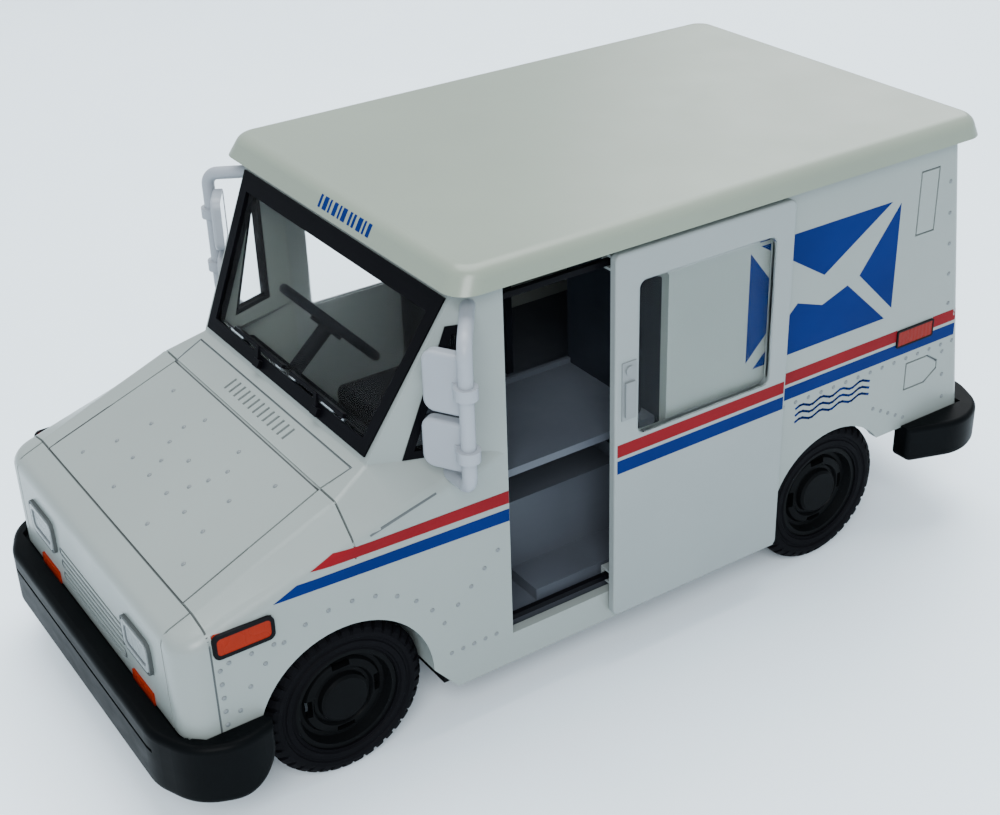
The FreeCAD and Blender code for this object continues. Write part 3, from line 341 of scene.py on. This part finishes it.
def finish_mesh(name, bm, material, body, smooth=False):
    """Turns bm, in millimetres, into a piece that rides on a body."""
    bmesh.ops.recalc_face_normals(bm, faces=bm.faces)
    mesh = bpy.data.meshes.new(name)
    bm.to_mesh(mesh)
    bm.free()
    mesh.transform(Matrix.Scale(MM, 4))
    for polygon in mesh.polygons:
        polygon.use_smooth = smooth
    mesh.materials.append(material)
    piece = bpy.data.objects.new(name, mesh)
    bpy.context.scene.collection.objects.link(piece)
    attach(piece, body)
    return piece


def join(bm, loops, closed):
    """Joins each loop of vertices to the next with quads, and the last to the first if closed."""
    count = len(loops[0])
    following = loops[1:] + loops[:1] if closed else loops[1:]
    for first, second in zip(loops, following):
        for i in range(count):
            j = (i + 1) % count
            bm.faces.new((first[i], first[j], second[j], second[i]))


def over(face, u, v, bridge):
    """The surface under a point, but carried across any seam narrower than twice the bridge."""
    place, normal = hit(face, u, v)
    if bridge:
        beside = [hit(face, u + shift, v)[0] for shift in (-bridge, bridge)]
        outward = (beside[0] + beside[1]) / 2 - place
        if outward.dot(normal) > SMALLEST_DIP:
            place = place + outward
    return place, normal


def lay(bm, face, outline, lift, sink, step, bridge):
    """Adds a thin closed plate of this outline to bm, wrapped onto the surface under it."""
    flat = bmesh.new()
    flat.faces.new([flat.verts.new((u, v, 0)) for u, v in outline])
    for axis in (0, 1):
        low = min(point[axis] for point in outline)
        high = max(point[axis] for point in outline)
        count = int((high - low) / step)
        normal = (1, 0, 0) if axis == 0 else (0, 1, 0)
        for index in range(1, count + 1):
            at = [0, 0, 0]
            at[axis] = low + (high - low) * index / (count + 1)
            geometry = flat.verts[:] + flat.edges[:] + flat.faces[:]
            bmesh.ops.bisect_plane(flat, geom=geometry, plane_co=at, plane_no=normal, dist=SAME_PLACE)
    bmesh.ops.triangulate(flat, faces=flat.faces[:])
    flat.verts.index_update()
    upper = []
    lower = []
    for vertex in flat.verts:
        place, normal = over(face, vertex.co.x, vertex.co.y, bridge)
        upper.append(bm.verts.new(place + normal * lift))
        lower.append(bm.verts.new(place - normal * sink))
    for triangle in flat.faces:
        a, b, c = [vertex.index for vertex in triangle.verts]
        bm.faces.new((upper[a], upper[b], upper[c]))
        bm.faces.new((lower[c], lower[b], lower[a]))
    for edge in flat.edges:
        if edge.is_boundary:
            a, b = [vertex.index for vertex in edge.verts]
            bm.faces.new((upper[a], upper[b], lower[b], lower[a]))
    flat.free()


def plates(
    name, face, outlines, layer_key, body="truck", lift=0.025, sink=0.03, step=1.6, bridge=0
):
    """One piece made of thin plates laid on a surface, cut at every step so that they follow its curve."""
    bm = bmesh.new()
    for outline in outlines:
        lay(bm, face, outline, lift, sink, step, bridge)
    finish_mesh(name, bm, PRINT_AND_PAINTED_SHADE[layer_key], body)


def strip(points, width, closed=False):
    """Outlines of straight strips that follow a polyline, one for each run."""
    ends = points[1:] + points[:1] if closed else points[1:]
    outlines = []
    for (u0, v0), (u1, v1) in zip(points, ends):
        along = Vector((u1 - u0, v1 - v0)).normalized() * (width / 2)
        side = Vector((-along.y, along.x))
        a = Vector((u0, v0)) - along
        b = Vector((u1, v1)) + along
        outlines.append([tuple(a - side), tuple(b - side), tuple(b + side), tuple(a + side)])
    return outlines


def box(low_u, high_u, low_v, high_v):
    """A rectangle's outline, anticlockwise."""
    return [(low_u, low_v), (high_u, low_v), (high_u, high_v), (low_u, high_v)]


def arc(centre, radius, start, end, count):
    """Points along a circle, angles in degrees."""
    angles = [math.radians(start + (end - start) * i / count) for i in range(count + 1)]
    return [(centre[0] + radius * math.cos(a), centre[1] + radius * math.sin(a)) for a in angles]


def rounded_rectangle(low_u, high_u, low_v, high_v, radius, count=5):
    """A rectangle's outline with round corners, anticlockwise."""
    outline = arc((high_u - radius, high_v - radius), radius, 0, 90, count)
    outline += arc((low_u + radius, high_v - radius), radius, 90, 180, count)
    outline += arc((low_u + radius, low_v + radius), radius, 180, 270, count)
    return outline + arc((high_u - radius, low_v + radius), radius, 270, 360, count)


def ring(name, face, outer, inner, material, low, high):
    """A raised frame between two outlines with the same number of points."""
    bm = bmesh.new()
    loops = []
    for outline, level in ((outer, low), (outer, high), (inner, high), (inner, low)):
        loops.append([bm.verts.new(face.at(u, v, level)) for u, v in outline])
    join(bm, loops, closed=True)
    finish_mesh(name, bm, material, "truck")


RIVET_SIDES = 10
RIVET_PROFILE = ((0.3, -0.08), (0.3, 0.02), (0.258, 0.084), (0.15, 0.1302))  # (radius, height)


def rivets(name, face, places):
    """Small domed rivet heads on a surface."""
    bm = bmesh.new()
    for u, v in places:
        place, normal = hit(face, u, v)
        turn = Vector((0, 0, 1)).rotation_difference(normal).to_matrix()
        loops = []
        for radius, height in RIVET_PROFILE:
            loop = []
            for index in range(RIVET_SIDES):
                angle = 2 * math.pi * index / RIVET_SIDES
                local = Vector((math.cos(angle) * radius, math.sin(angle) * radius, height))
                loop.append(bm.verts.new(place + turn @ local))
            loops.append(loop)
        join(bm, loops, closed=False)
        bm.faces.new(loops[-1])
        bm.faces.new(loops[0][::-1])
    finish_mesh(name, bm, RIVET_PAINT, "truck", smooth=True)


def row(start, end, count):
    """Evenly spaced points from start to end."""
    (u0, v0), (u1, v1) = start, end
    return [(u0 + (u1 - u0) * i / (count - 1), v0 + (v1 - v0) * i / (count - 1)) for i in range(count)]


HOOD = Face((0, HOOD_FRONT_Y, HOOD_FRONT_Z), (1, 0, 0), (0, 1, HOOD_SLOPE), ("body_shell",))
FASCIA = Face((0, NOSE_Y, 0), (1, 0, 0), (0, 0, 1), ("body_shell",))
ABOVE = Face((0, 0, 30), (1, 0, 0), (0, 1, 0), ("body_shell",))


def side_face(side, nodes=("body_shell",), x=SIDE_X):
    """The truck's side, with u towards the rear on the left side and towards the front on the right."""
    if side == "left":
        return Face((x, 0, 0), (0, 1, 0), (0, 0, 1), nodes)
    return Face((-x, 0, 0), (0, -1, 0), (0, 0, 1), nodes)


def on_side(side, outline):
    """Turns (y, z) points into a side face's own u, v."""
    return outline if side == "left" else [(-y, z) for y, z in outline]


# ---------------------------------------------------------------- seams, drawn as painted shade


SEAM = 0.22
SEAM_LIFT = 0.04
HOOD_SEAM_Y = HOOD_FRONT_Y + 0.125
COWL_SEAM_Y = -38.575
SHOULDER_X = 26.0
CORNER_X = 22.325
CORNER_FRONT_Y = -59.6
SEAM_FOOT_Z = 12.3
CORNER_TOP_Z = 23.2
SIDE_SEAM_TOP_Z = 24.6
COWL_EDGE = [(-36.4, 30.15), (-27.9, 32.35)]
LOUVRE = (46.42, 49.68, 43.82, 52.58)  # low y, high y, low z, high z
FUEL_COVER = [(47.1, 20.5), (51.2, 20.5), (53.4, 22.0), (53.4, 23.4), (51.4, 24.8), (47.1, 24.8)]
COVER_LINE = 0.2
COVER_INSET = 0.12
COVER_LIFT = 0.03


def hood_seams():
    """Painted shade along the line round the hood and the one round the cowl behind it."""
    inset = SEAM / 2
    half_front = HOOD_HALF_FRONT - inset
    half_rear = HOOD_HALF_REAR - inset
    rear = HOOD_LONG - inset
    hood = [(-half_front, inset), (half_front, inset), (half_rear, rear), (-half_rear, rear)]
    plates("seam_hood", HOOD, strip(hood, SEAM, closed=True), "seam_painted_shade", lift=SEAM_LIFT)
    cowl_half = HOOD_HALF_REAR + COWL_FLARE
    cowl_rear = HOOD_LONG + COWL_LONG - inset
    cowl = [(-half_rear, HOOD_LONG), (-cowl_half, cowl_rear), (cowl_half, cowl_rear), (half_rear, HOOD_LONG)]
    plates("seam_cowl", HOOD, strip(cowl, SEAM), "soft_painted_shade", lift=SEAM_LIFT)


def fender_seams():
    """Painted shade along lines across the tops of the fenders and down the corners of the nose."""
    tops = []
    corners = []
    for sign in (-1, 1):
        tops += strip([(sign * HOOD_HALF_FRONT, HOOD_SEAM_Y), (sign * SHOULDER_X, HOOD_SEAM_Y)], SEAM)
        tops += strip([(sign * HOOD_HALF_REAR, COWL_SEAM_Y), (sign * SHOULDER_X, COWL_SEAM_Y)], SEAM)
        tops += strip([(sign * CORNER_X, CORNER_FRONT_Y), (sign * CORNER_X, HOOD_FRONT_Y)], SEAM)
        corners += strip([(sign * CORNER_X, SEAM_FOOT_Z), (sign * CORNER_X, CORNER_TOP_Z)], SEAM)
    plates("seam_shoulders", ABOVE, tops, "seam_painted_shade", lift=SEAM_LIFT, step=0.5)
    plates("seam_fascia", FASCIA, corners, "soft_painted_shade", lift=SEAM_LIFT)


def side_seams():
    """Painted shade along lines on each side: behind the nose, along the cowl's edge, and round the louvre
    and the fuel cover.
    """
    for side in SIDES:
        face = side_face(side)
        runs = strip(on_side(side, [(HOOD_SEAM_Y, SEAM_FOOT_Z), (HOOD_SEAM_Y, SIDE_SEAM_TOP_Z)]), SEAM)
        runs += strip(on_side(side, COWL_EDGE), SEAM)
        plates(f"seam_side_{side}", face, runs, "soft_painted_shade", lift=SEAM_LIFT)
        runs = strip(on_side(side, box(*LOUVRE)), COVER_LINE, closed=True)
        runs += strip(on_side(side, shrink(FUEL_COVER, COVER_INSET)), COVER_LINE, closed=True)
        plates(f"seam_covers_{side}", face, runs, "soft_painted_shade", lift=COVER_LIFT)


def shrink(outline, margin):
    """Moves an outline's points towards its middle, by margin along each axis."""
    u = (min(p[0] for p in outline) + max(p[0] for p in outline)) / 2
    v = (min(p[1] for p in outline) + max(p[1] for p in outline)) / 2
    return [(a + math.copysign(margin, u - a), b + math.copysign(margin, v - b)) for a, b in outline]


VENTS = 13
VENT_HALF = 0.18
VENT_FRONT, VENT_REAR = 21.05, 22.85
LAST_VENT_X = 7.7
GRILLE_HALF = 9.8
GRILLE_SLOTS_Z = (17.4, 15.6, 13.8)
GRILLE_LINE = 0.26


def vents_and_grille():
    """Painted shade in slots across the cowl, and a painted shade line round each opening of the grille."""
    slots = []
    for index in range(VENTS):
        x = -LAST_VENT_X + index * 2 * LAST_VENT_X / (VENTS - 1)
        slots.append(box(x - VENT_HALF, x + VENT_HALF, VENT_FRONT, VENT_REAR))
    plates("cowl_vents", HOOD, slots, "soft_painted_shade", lift=0.05)
    openings = []
    for z in GRILLE_SLOTS_Z:
        outline = rounded_rectangle(-GRILLE_HALF, GRILLE_HALF, z + 0.05, z + 1.0, 0.45, 4)
        openings += strip(outline, GRILLE_LINE, closed=True)
    plates("grille_lines", FASCIA, openings, "soft_painted_shade", lift=0.05, step=4)


# ---------------------------------------------------------------- printed markings

STRIPES = {"ink_red": (28.8, 30.5), "ink_blue": (26.5, 28.3)}  # low and high edges
FENDER_STRIPES = {
    # The print on the fenders sits a little lower. Each outline runs back along the low edge first.
    "ink_red": [(-44.1, 28.4), (DOORWAY_FRONT_Y, 27.5), (DOORWAY_FRONT_Y, 29.15), (-41.1, 29.55)],
    "ink_blue": [(-48.9, 26.3), (DOORWAY_FRONT_Y, 25.05), (DOORWAY_FRONT_Y, 26.7), (-45.9, 27.5)],
}
STRIPE_END_Y = 56.1
MARKER_FRONT_Y, MARKER_REAR_Y, MARKER_FOOT_Z = 44.75, 51.55, 27.85
DOOR_MARGIN = 0.35


def stripes():
    """Red and blue stripes on the fenders, on the doors, and behind the doorways round the rear marker."""
    for side in SIDES:
        face = side_face(side)
        door = side_face(side, (f"door_{side}",), DOOR_X)
        door_front = DOOR_FRONT[side] + DOOR_MARGIN
        door_rear = DOOR_FRONT[side] + DOOR_LONG - DOOR_MARGIN
        for layer_key, (low, high) in STRIPES.items():
            front = on_side(side, FENDER_STRIPES[layer_key])
            name = f"stripe_front_{layer_key}_{side}"
            plates(name, face, [front], layer_key, lift=0.05, sink=0.1, step=0.35, bridge=0.4)
            rear = [box(DOORWAY_REAR_Y, MARKER_FRONT_Y, low, high)]
            rear.append(box(MARKER_REAR_Y, STRIPE_END_Y, low, high))
            if low < MARKER_FOOT_Z:
                rear.append(box(MARKER_FRONT_Y, MARKER_REAR_Y, low, MARKER_FOOT_Z))
            rear = [on_side(side, outline) for outline in rear]
            plates(f"stripe_rear_{layer_key}_{side}", face, rear, layer_key, lift=0.035, step=0.9)
            on_door = on_side(side, box(door_front, door_rear, low, high))
            plates(f"door_stripe_{layer_key}_{side}", door, [on_door], layer_key, f"{side}_door", step=4)


def envelope():
    """A plain envelope: three blue flaps and a blue pocket, with the white folds left between them."""
    low_y, high_y = 17.5, 43.1
    low_z, high_z = 33.2, 49.8
    mid_y = (low_y + high_y) / 2
    fold_z = 41.2
    top_inset, foot_inset, top_gap = 1.6, 1.2, 0.55
    flap_reach, flap_z = 6.3, fold_z - 0.3
    pocket_reach, pocket_z = 4.3, fold_z - 1.1
    top = [(low_y + top_inset, high_z), (mid_y, fold_z + 1.6), (high_y - top_inset, high_z)]
    front = [(low_y, high_z - top_gap), (low_y, low_z + foot_inset), (mid_y - flap_reach, flap_z)]
    rear = [(high_y, high_z - top_gap), (mid_y + flap_reach, flap_z), (high_y, low_z + foot_inset)]
    pocket = [
        (low_y + foot_inset, low_z),
        (high_y - foot_inset, low_z),
        (mid_y + pocket_reach, pocket_z),
        (mid_y, fold_z - 2.6),
        (mid_y - pocket_reach, pocket_z),
    ]
    for side in SIDES:
        outlines = [on_side(side, shape) for shape in (top, front, rear, pocket)]
        plates(f"envelope_{side}", side_face(side), outlines, "ink_blue", step=3)


WAVES_Z = (22.6, 23.6, 24.6)
WAVE_FRONT_Y = 27.0
WAVE_POINTS = 23
WAVE_STEP = 0.6
WAVE_RISE = 0.28
WAVE_TURN = 1.05  # radians for each step
WAVE_WIDTH = 0.34


def postmark():
    """Cancellation waves under the stripes."""
    for side in SIDES:
        outlines = []
        for z in WAVES_Z:
            points = []
            for i in range(WAVE_POINTS):
                points.append((WAVE_FRONT_Y + i * WAVE_STEP, z + WAVE_RISE * math.sin(i * WAVE_TURN)))
            outlines += strip(on_side(side, points), WAVE_WIDTH)
        plates(f"postmark_{side}", side_face(side), outlines, "ink_blue", step=3)


ROOF_BARS_LEFT = -2.6
ROOF_BARS_V = (0.75, 2.35)
ROOF_BARS = (  # width, then the gap after it
    (0.5, 0.5), (0.9, 0.4), (0.4, 0.6), (0.8, 0.5), (0.4, 0.4), (0.9, 0.7),
    (0.5, 0.4), (0.5, 0.6), (0.9, 0.4), (0.4, 0.5), (0.7, 0.4),
)


def roof_marks():
    """Plain upright bars on the roof's sloping front edge."""
    face = Face((0, -25.2, 56.0), (1, 0, 0), (0, 1.5, 2.7), ("roof_cap",))
    bars = []
    left = ROOF_BARS_LEFT
    for wide, gap in ROOF_BARS:
        bars.append(box(left, left + wide, *ROOF_BARS_V))
        left += wide + gap
    plates("roof_marks", face, bars, "ink_blue", step=0.5)


MARKER_FRAMES = (
    # end, outer and inner outline (low y, high y, low z, high z, corner radius), height
    ("front", (-56.45, -49.15, 22.25, 25.35, 0.8), (-56.0, -49.6, 22.7, 24.9, 0.5), 0.36),
    ("rear", (44.7, 51.6, 27.8, 30.4, 0.3), (44.95, 51.35, 28.05, 30.15, 0.15), 0.24),
)


def marker_frames():
    """Dark borders round the side markers."""
    for side in SIDES:
        for end, outer, inner, height in MARKER_FRAMES:
            outer = on_side(side, rounded_rectangle(*outer))
            inner = on_side(side, rounded_rectangle(*inner))
            name = f"marker_frame_{end}_{side}"
            ring(name, side_face(side), outer, inner, PRINT_AND_PAINTED_SHADE["ink_black"], -0.1, height)


HEADLIGHT_RINGS = (
    # name, outer and inner outline (half width, half height, corner radius), material, low and high levels
    # The bezel line and the lens line are dark rings of painted shade in the gaps round the lamp.
    ("bezel_line", (3.95, 2.35, 1.2), (3.7, 2.1, 1.0), PRINT_AND_PAINTED_SHADE["seam_painted_shade"], -0.2, 0.44),
    ("bezel", (3.55, 1.95, 0.9), (2.95, 1.4, 0.7), MATERIALS["lamp_clear"], 0.2, 0.5),
    ("lens_line", (2.95, 1.4, 0.7), (2.7, 1.15, 0.6), PRINT_AND_PAINTED_SHADE["soft_painted_shade"], 0.2, 0.42),
)


def headlight_details():
    """Moulded rings on each headlight: a painted shade line round the bezel, the bezel itself and a painted
    shade line at the edge of the lens.
    """
    for side, sign in SIDES.items():
        face = Face((sign * 14.75, NOSE_Y, 18.95), (1, 0, 0), (0, 0, 1), (f"headlight_{side}",))
        for name, (u1, v1, r1), (u2, v2, r2), material, low, high in HEADLIGHT_RINGS:
            outer = rounded_rectangle(-u1, u1, -v1, v1, r1)
            inner = rounded_rectangle(-u2, u2, -v2, v2, r2)
            ring(f"headlight_{name}_{side}", face, outer, inner, material, low, high)


# ---------------------------------------------------------------- rivets


def all_rivets():
    """Rows of rivets on the hood, round the front arch and along each side."""
    hood = row((-15, 3.0), (15, 3.0), 4) + row((-12.5, 7.0), (12.5, 7.0), 6)
    hood += row((-11, 11.5), (11, 11.5), 5) + row((-14, 16.4), (14, 16.4), 4)
    hood += [(-3.4, 9.2), (4.2, 9.4), (-6.2, 14), (6.4, 13.8)]
    rivets("rivets_hood", HOOD, hood)
    front = arc((-41.0, 8.2), 14.6, 25, 155, 11)
    front += row((-27.0, 9.6), (-20.6, 9.6), 5) + row((-25.8, 16.2), (-20.0, 21.6), 4)
    front += row((-55.9, 13.2), (-55.9, 20.6), 5) + row((-54.8, 21.2), (-49.4, 21.2), 3)
    rear = row((24.6, 25.6), (56.0, 25.6), 15) + row((41.5, 19.6), (47.6, 16.2), 5)
    rear += row((55.2, 17.0), (54.2, 24.4), 3) + row((54.3, 31.8), (52.0, 50.0), 5)
    for side in SIDES:
        rivets(f"rivets_side_{side}", side_face(side), on_side(side, front + rear))


# ---------------------------------------------------------------- wheels


TYRE_PROFILE = (
    # distance out from the wheel's face, radius, tread share (how deep a cross groove cuts there)
    (-6.85, 6.75, 0), (-7.0, 7.1, 0), (-7.0, 8.9, 0), (-6.75, 9.6, 0.6), (-6.2, 10.2, 1),
    (-5.9, 10.38, 1), (-4.1, 10.38, 1), (-3.95, 9.95, 0), (-3.35, 9.95, 0), (-3.2, 10.38, 1),
    (-1.1, 10.38, 1), (-0.7, 10.2, 1), (-0.2, 9.6, 0.6), (-0.02, 9.0, 0), (-0.02, 8.5, 0),
    (-0.2, 8.35, 0), (-0.2, 8.05, 0), (-0.04, 7.9, 0), (-0.04, 7.3, 0), (-0.25, 7.15, 0),
    (-0.25, 6.95, 0), (-0.1, 6.75, 0),
)
TREAD_MIDDLE = -3.6
LUGS = 40
LUG_STEPS = ((0.0, 1), (0.24, 1), (0.3, 0), (0.62, 0), (0.94, 0))  # share of the pitch, 1 inside the groove
GROOVE_DEPTH = 0.5


def tyre(end, side):
    """A tyre with two staggered rows of tread blocks and moulded rings on its side."""
    bm = bmesh.new()
    loops = []
    for out, radius, share in TYRE_PROFILE:
        x = SIDES[side] * (WHEEL_FACE_X + out)
        stagger = 0.5 if share and out < TREAD_MIDDLE else 0.0
        loop = []
        for lug in range(LUGS):
            for step, grooved in LUG_STEPS:
                angle = 2 * math.pi * (lug + step + stagger) / LUGS
                reach = radius - GROOVE_DEPTH * share * grooved
                y = AXLES[end] + reach * math.cos(angle)
                z = WHEEL_RADIUS + reach * math.sin(angle)
                loop.append(bm.verts.new((x, y, z)))
        loops.append(loop)
    join(bm, loops, closed=True)
    name = f"{end}_tyre_{side}"
    material = MATERIALS["tyre_black"]
    piece = finish_mesh(f"treaded_{name}", bm, material, f"{end}_wheelset")
    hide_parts(name)


def tyres():
    for end in AXLES:
        for side in SIDES:
            tyre(end, side)


hood_seams()
fender_seams()
side_seams()
vents_and_grille()
stripes()
envelope()
postmark()
roof_marks()
marker_frames()
headlight_details()
all_rivets()
tyres()


# ---------------------------------------------------------------- stage, light and camera


def floor():
    """A pale table top, faintly clouded and grained."""
    bpy.ops.mesh.primitive_plane_add(size=3.0, location=(0, 0, 0))
    plane = bpy.context.object
    plane.name = "floor"
    n = Nodes("floor_pale")
    n.link(n.colours(n.noise(120, 3), (0.80, 0.91, 0.98), (0.83, 0.93, 1.0)), n.shader.inputs["Base Color"])
    n.link(n.between(n.noise(10, 3), 0.55, 0.7), n.shader.inputs["Roughness"])
    n.bump((n.noise(1.2, 3), 0.02, 0.2))
    plane.data.materials.append(n.material)


def soft_light(name, place, target, size, power, colour):
    """A round soft light that points at target."""
    data = bpy.data.lights.new(name, "AREA")
    data.shape = "DISK"
    data.size = size
    data.energy = power
    data.color = colour
    lamp = bpy.data.objects.new(name, data)
    lamp.location = place
    lamp.rotation_euler = (Vector(target) - Vector(place)).to_track_quat("-Z", "Y").to_euler()
    bpy.context.scene.collection.objects.link(lamp)


def lights():
    soft_light("key", (0.45, -0.30, 0.42), (0, 0, 0.02), 0.35, 4.8, (0.98, 0.99, 1.0))
    soft_light("overhead", (-0.15, 0.1, 0.6), (0, 0, 0.03), 0.6, 6.4, (0.97, 0.99, 1.0))
    soft_light("back", (-0.35, 0.5, 0.35), (0, 0, 0.03), 0.4, 1.4, (0.95, 0.98, 1.0))
    world = bpy.data.worlds.new("studio")
    world.use_nodes = True
    world.node_tree.nodes["Background"].inputs["Color"].default_value = (0.82, 0.91, 1.0, 1)
    world.node_tree.nodes["Background"].inputs["Strength"].default_value = 1.0
    bpy.context.scene.world = world


CAMERA_AZIMUTH = 56.9
CAMERA_ELEVATION = 29.53
CAMERA_ROLL = -1.92
CAMERA_PLACE = (158.475, -104.983, 132.155)
CAMERA_LENS = 58.21


def camera():
    """The camera fitted to the reference view."""
    azimuth = math.radians(CAMERA_AZIMUTH)
    elevation = math.radians(CAMERA_ELEVATION)
    roll = math.radians(CAMERA_ROLL)
    back = Vector((
        math.sin(azimuth) * math.cos(elevation),
        -math.cos(azimuth) * math.cos(elevation),
        math.sin(elevation),
    ))
    right = (-back).cross(Vector((0, 0, 1))).normalized()
    up = right.cross(-back)
    camera_x = right * math.cos(roll) + up * math.sin(roll)
    camera_y = up * math.cos(roll) - right * math.sin(roll)
    data = bpy.data.cameras.new("camera")
    data.lens = CAMERA_LENS
    data.sensor_width = 36
    data.clip_start = 0.01
    data.clip_end = 10
    view = bpy.data.objects.new("camera", data)
    turn = Matrix((camera_x, camera_y, back)).transposed().to_4x4()
    view.matrix_world = Matrix.Translation(Vector(CAMERA_PLACE) * MM) @ turn
    bpy.context.scene.collection.objects.link(view)
    bpy.context.scene.camera = view


floor()
lights()
camera()
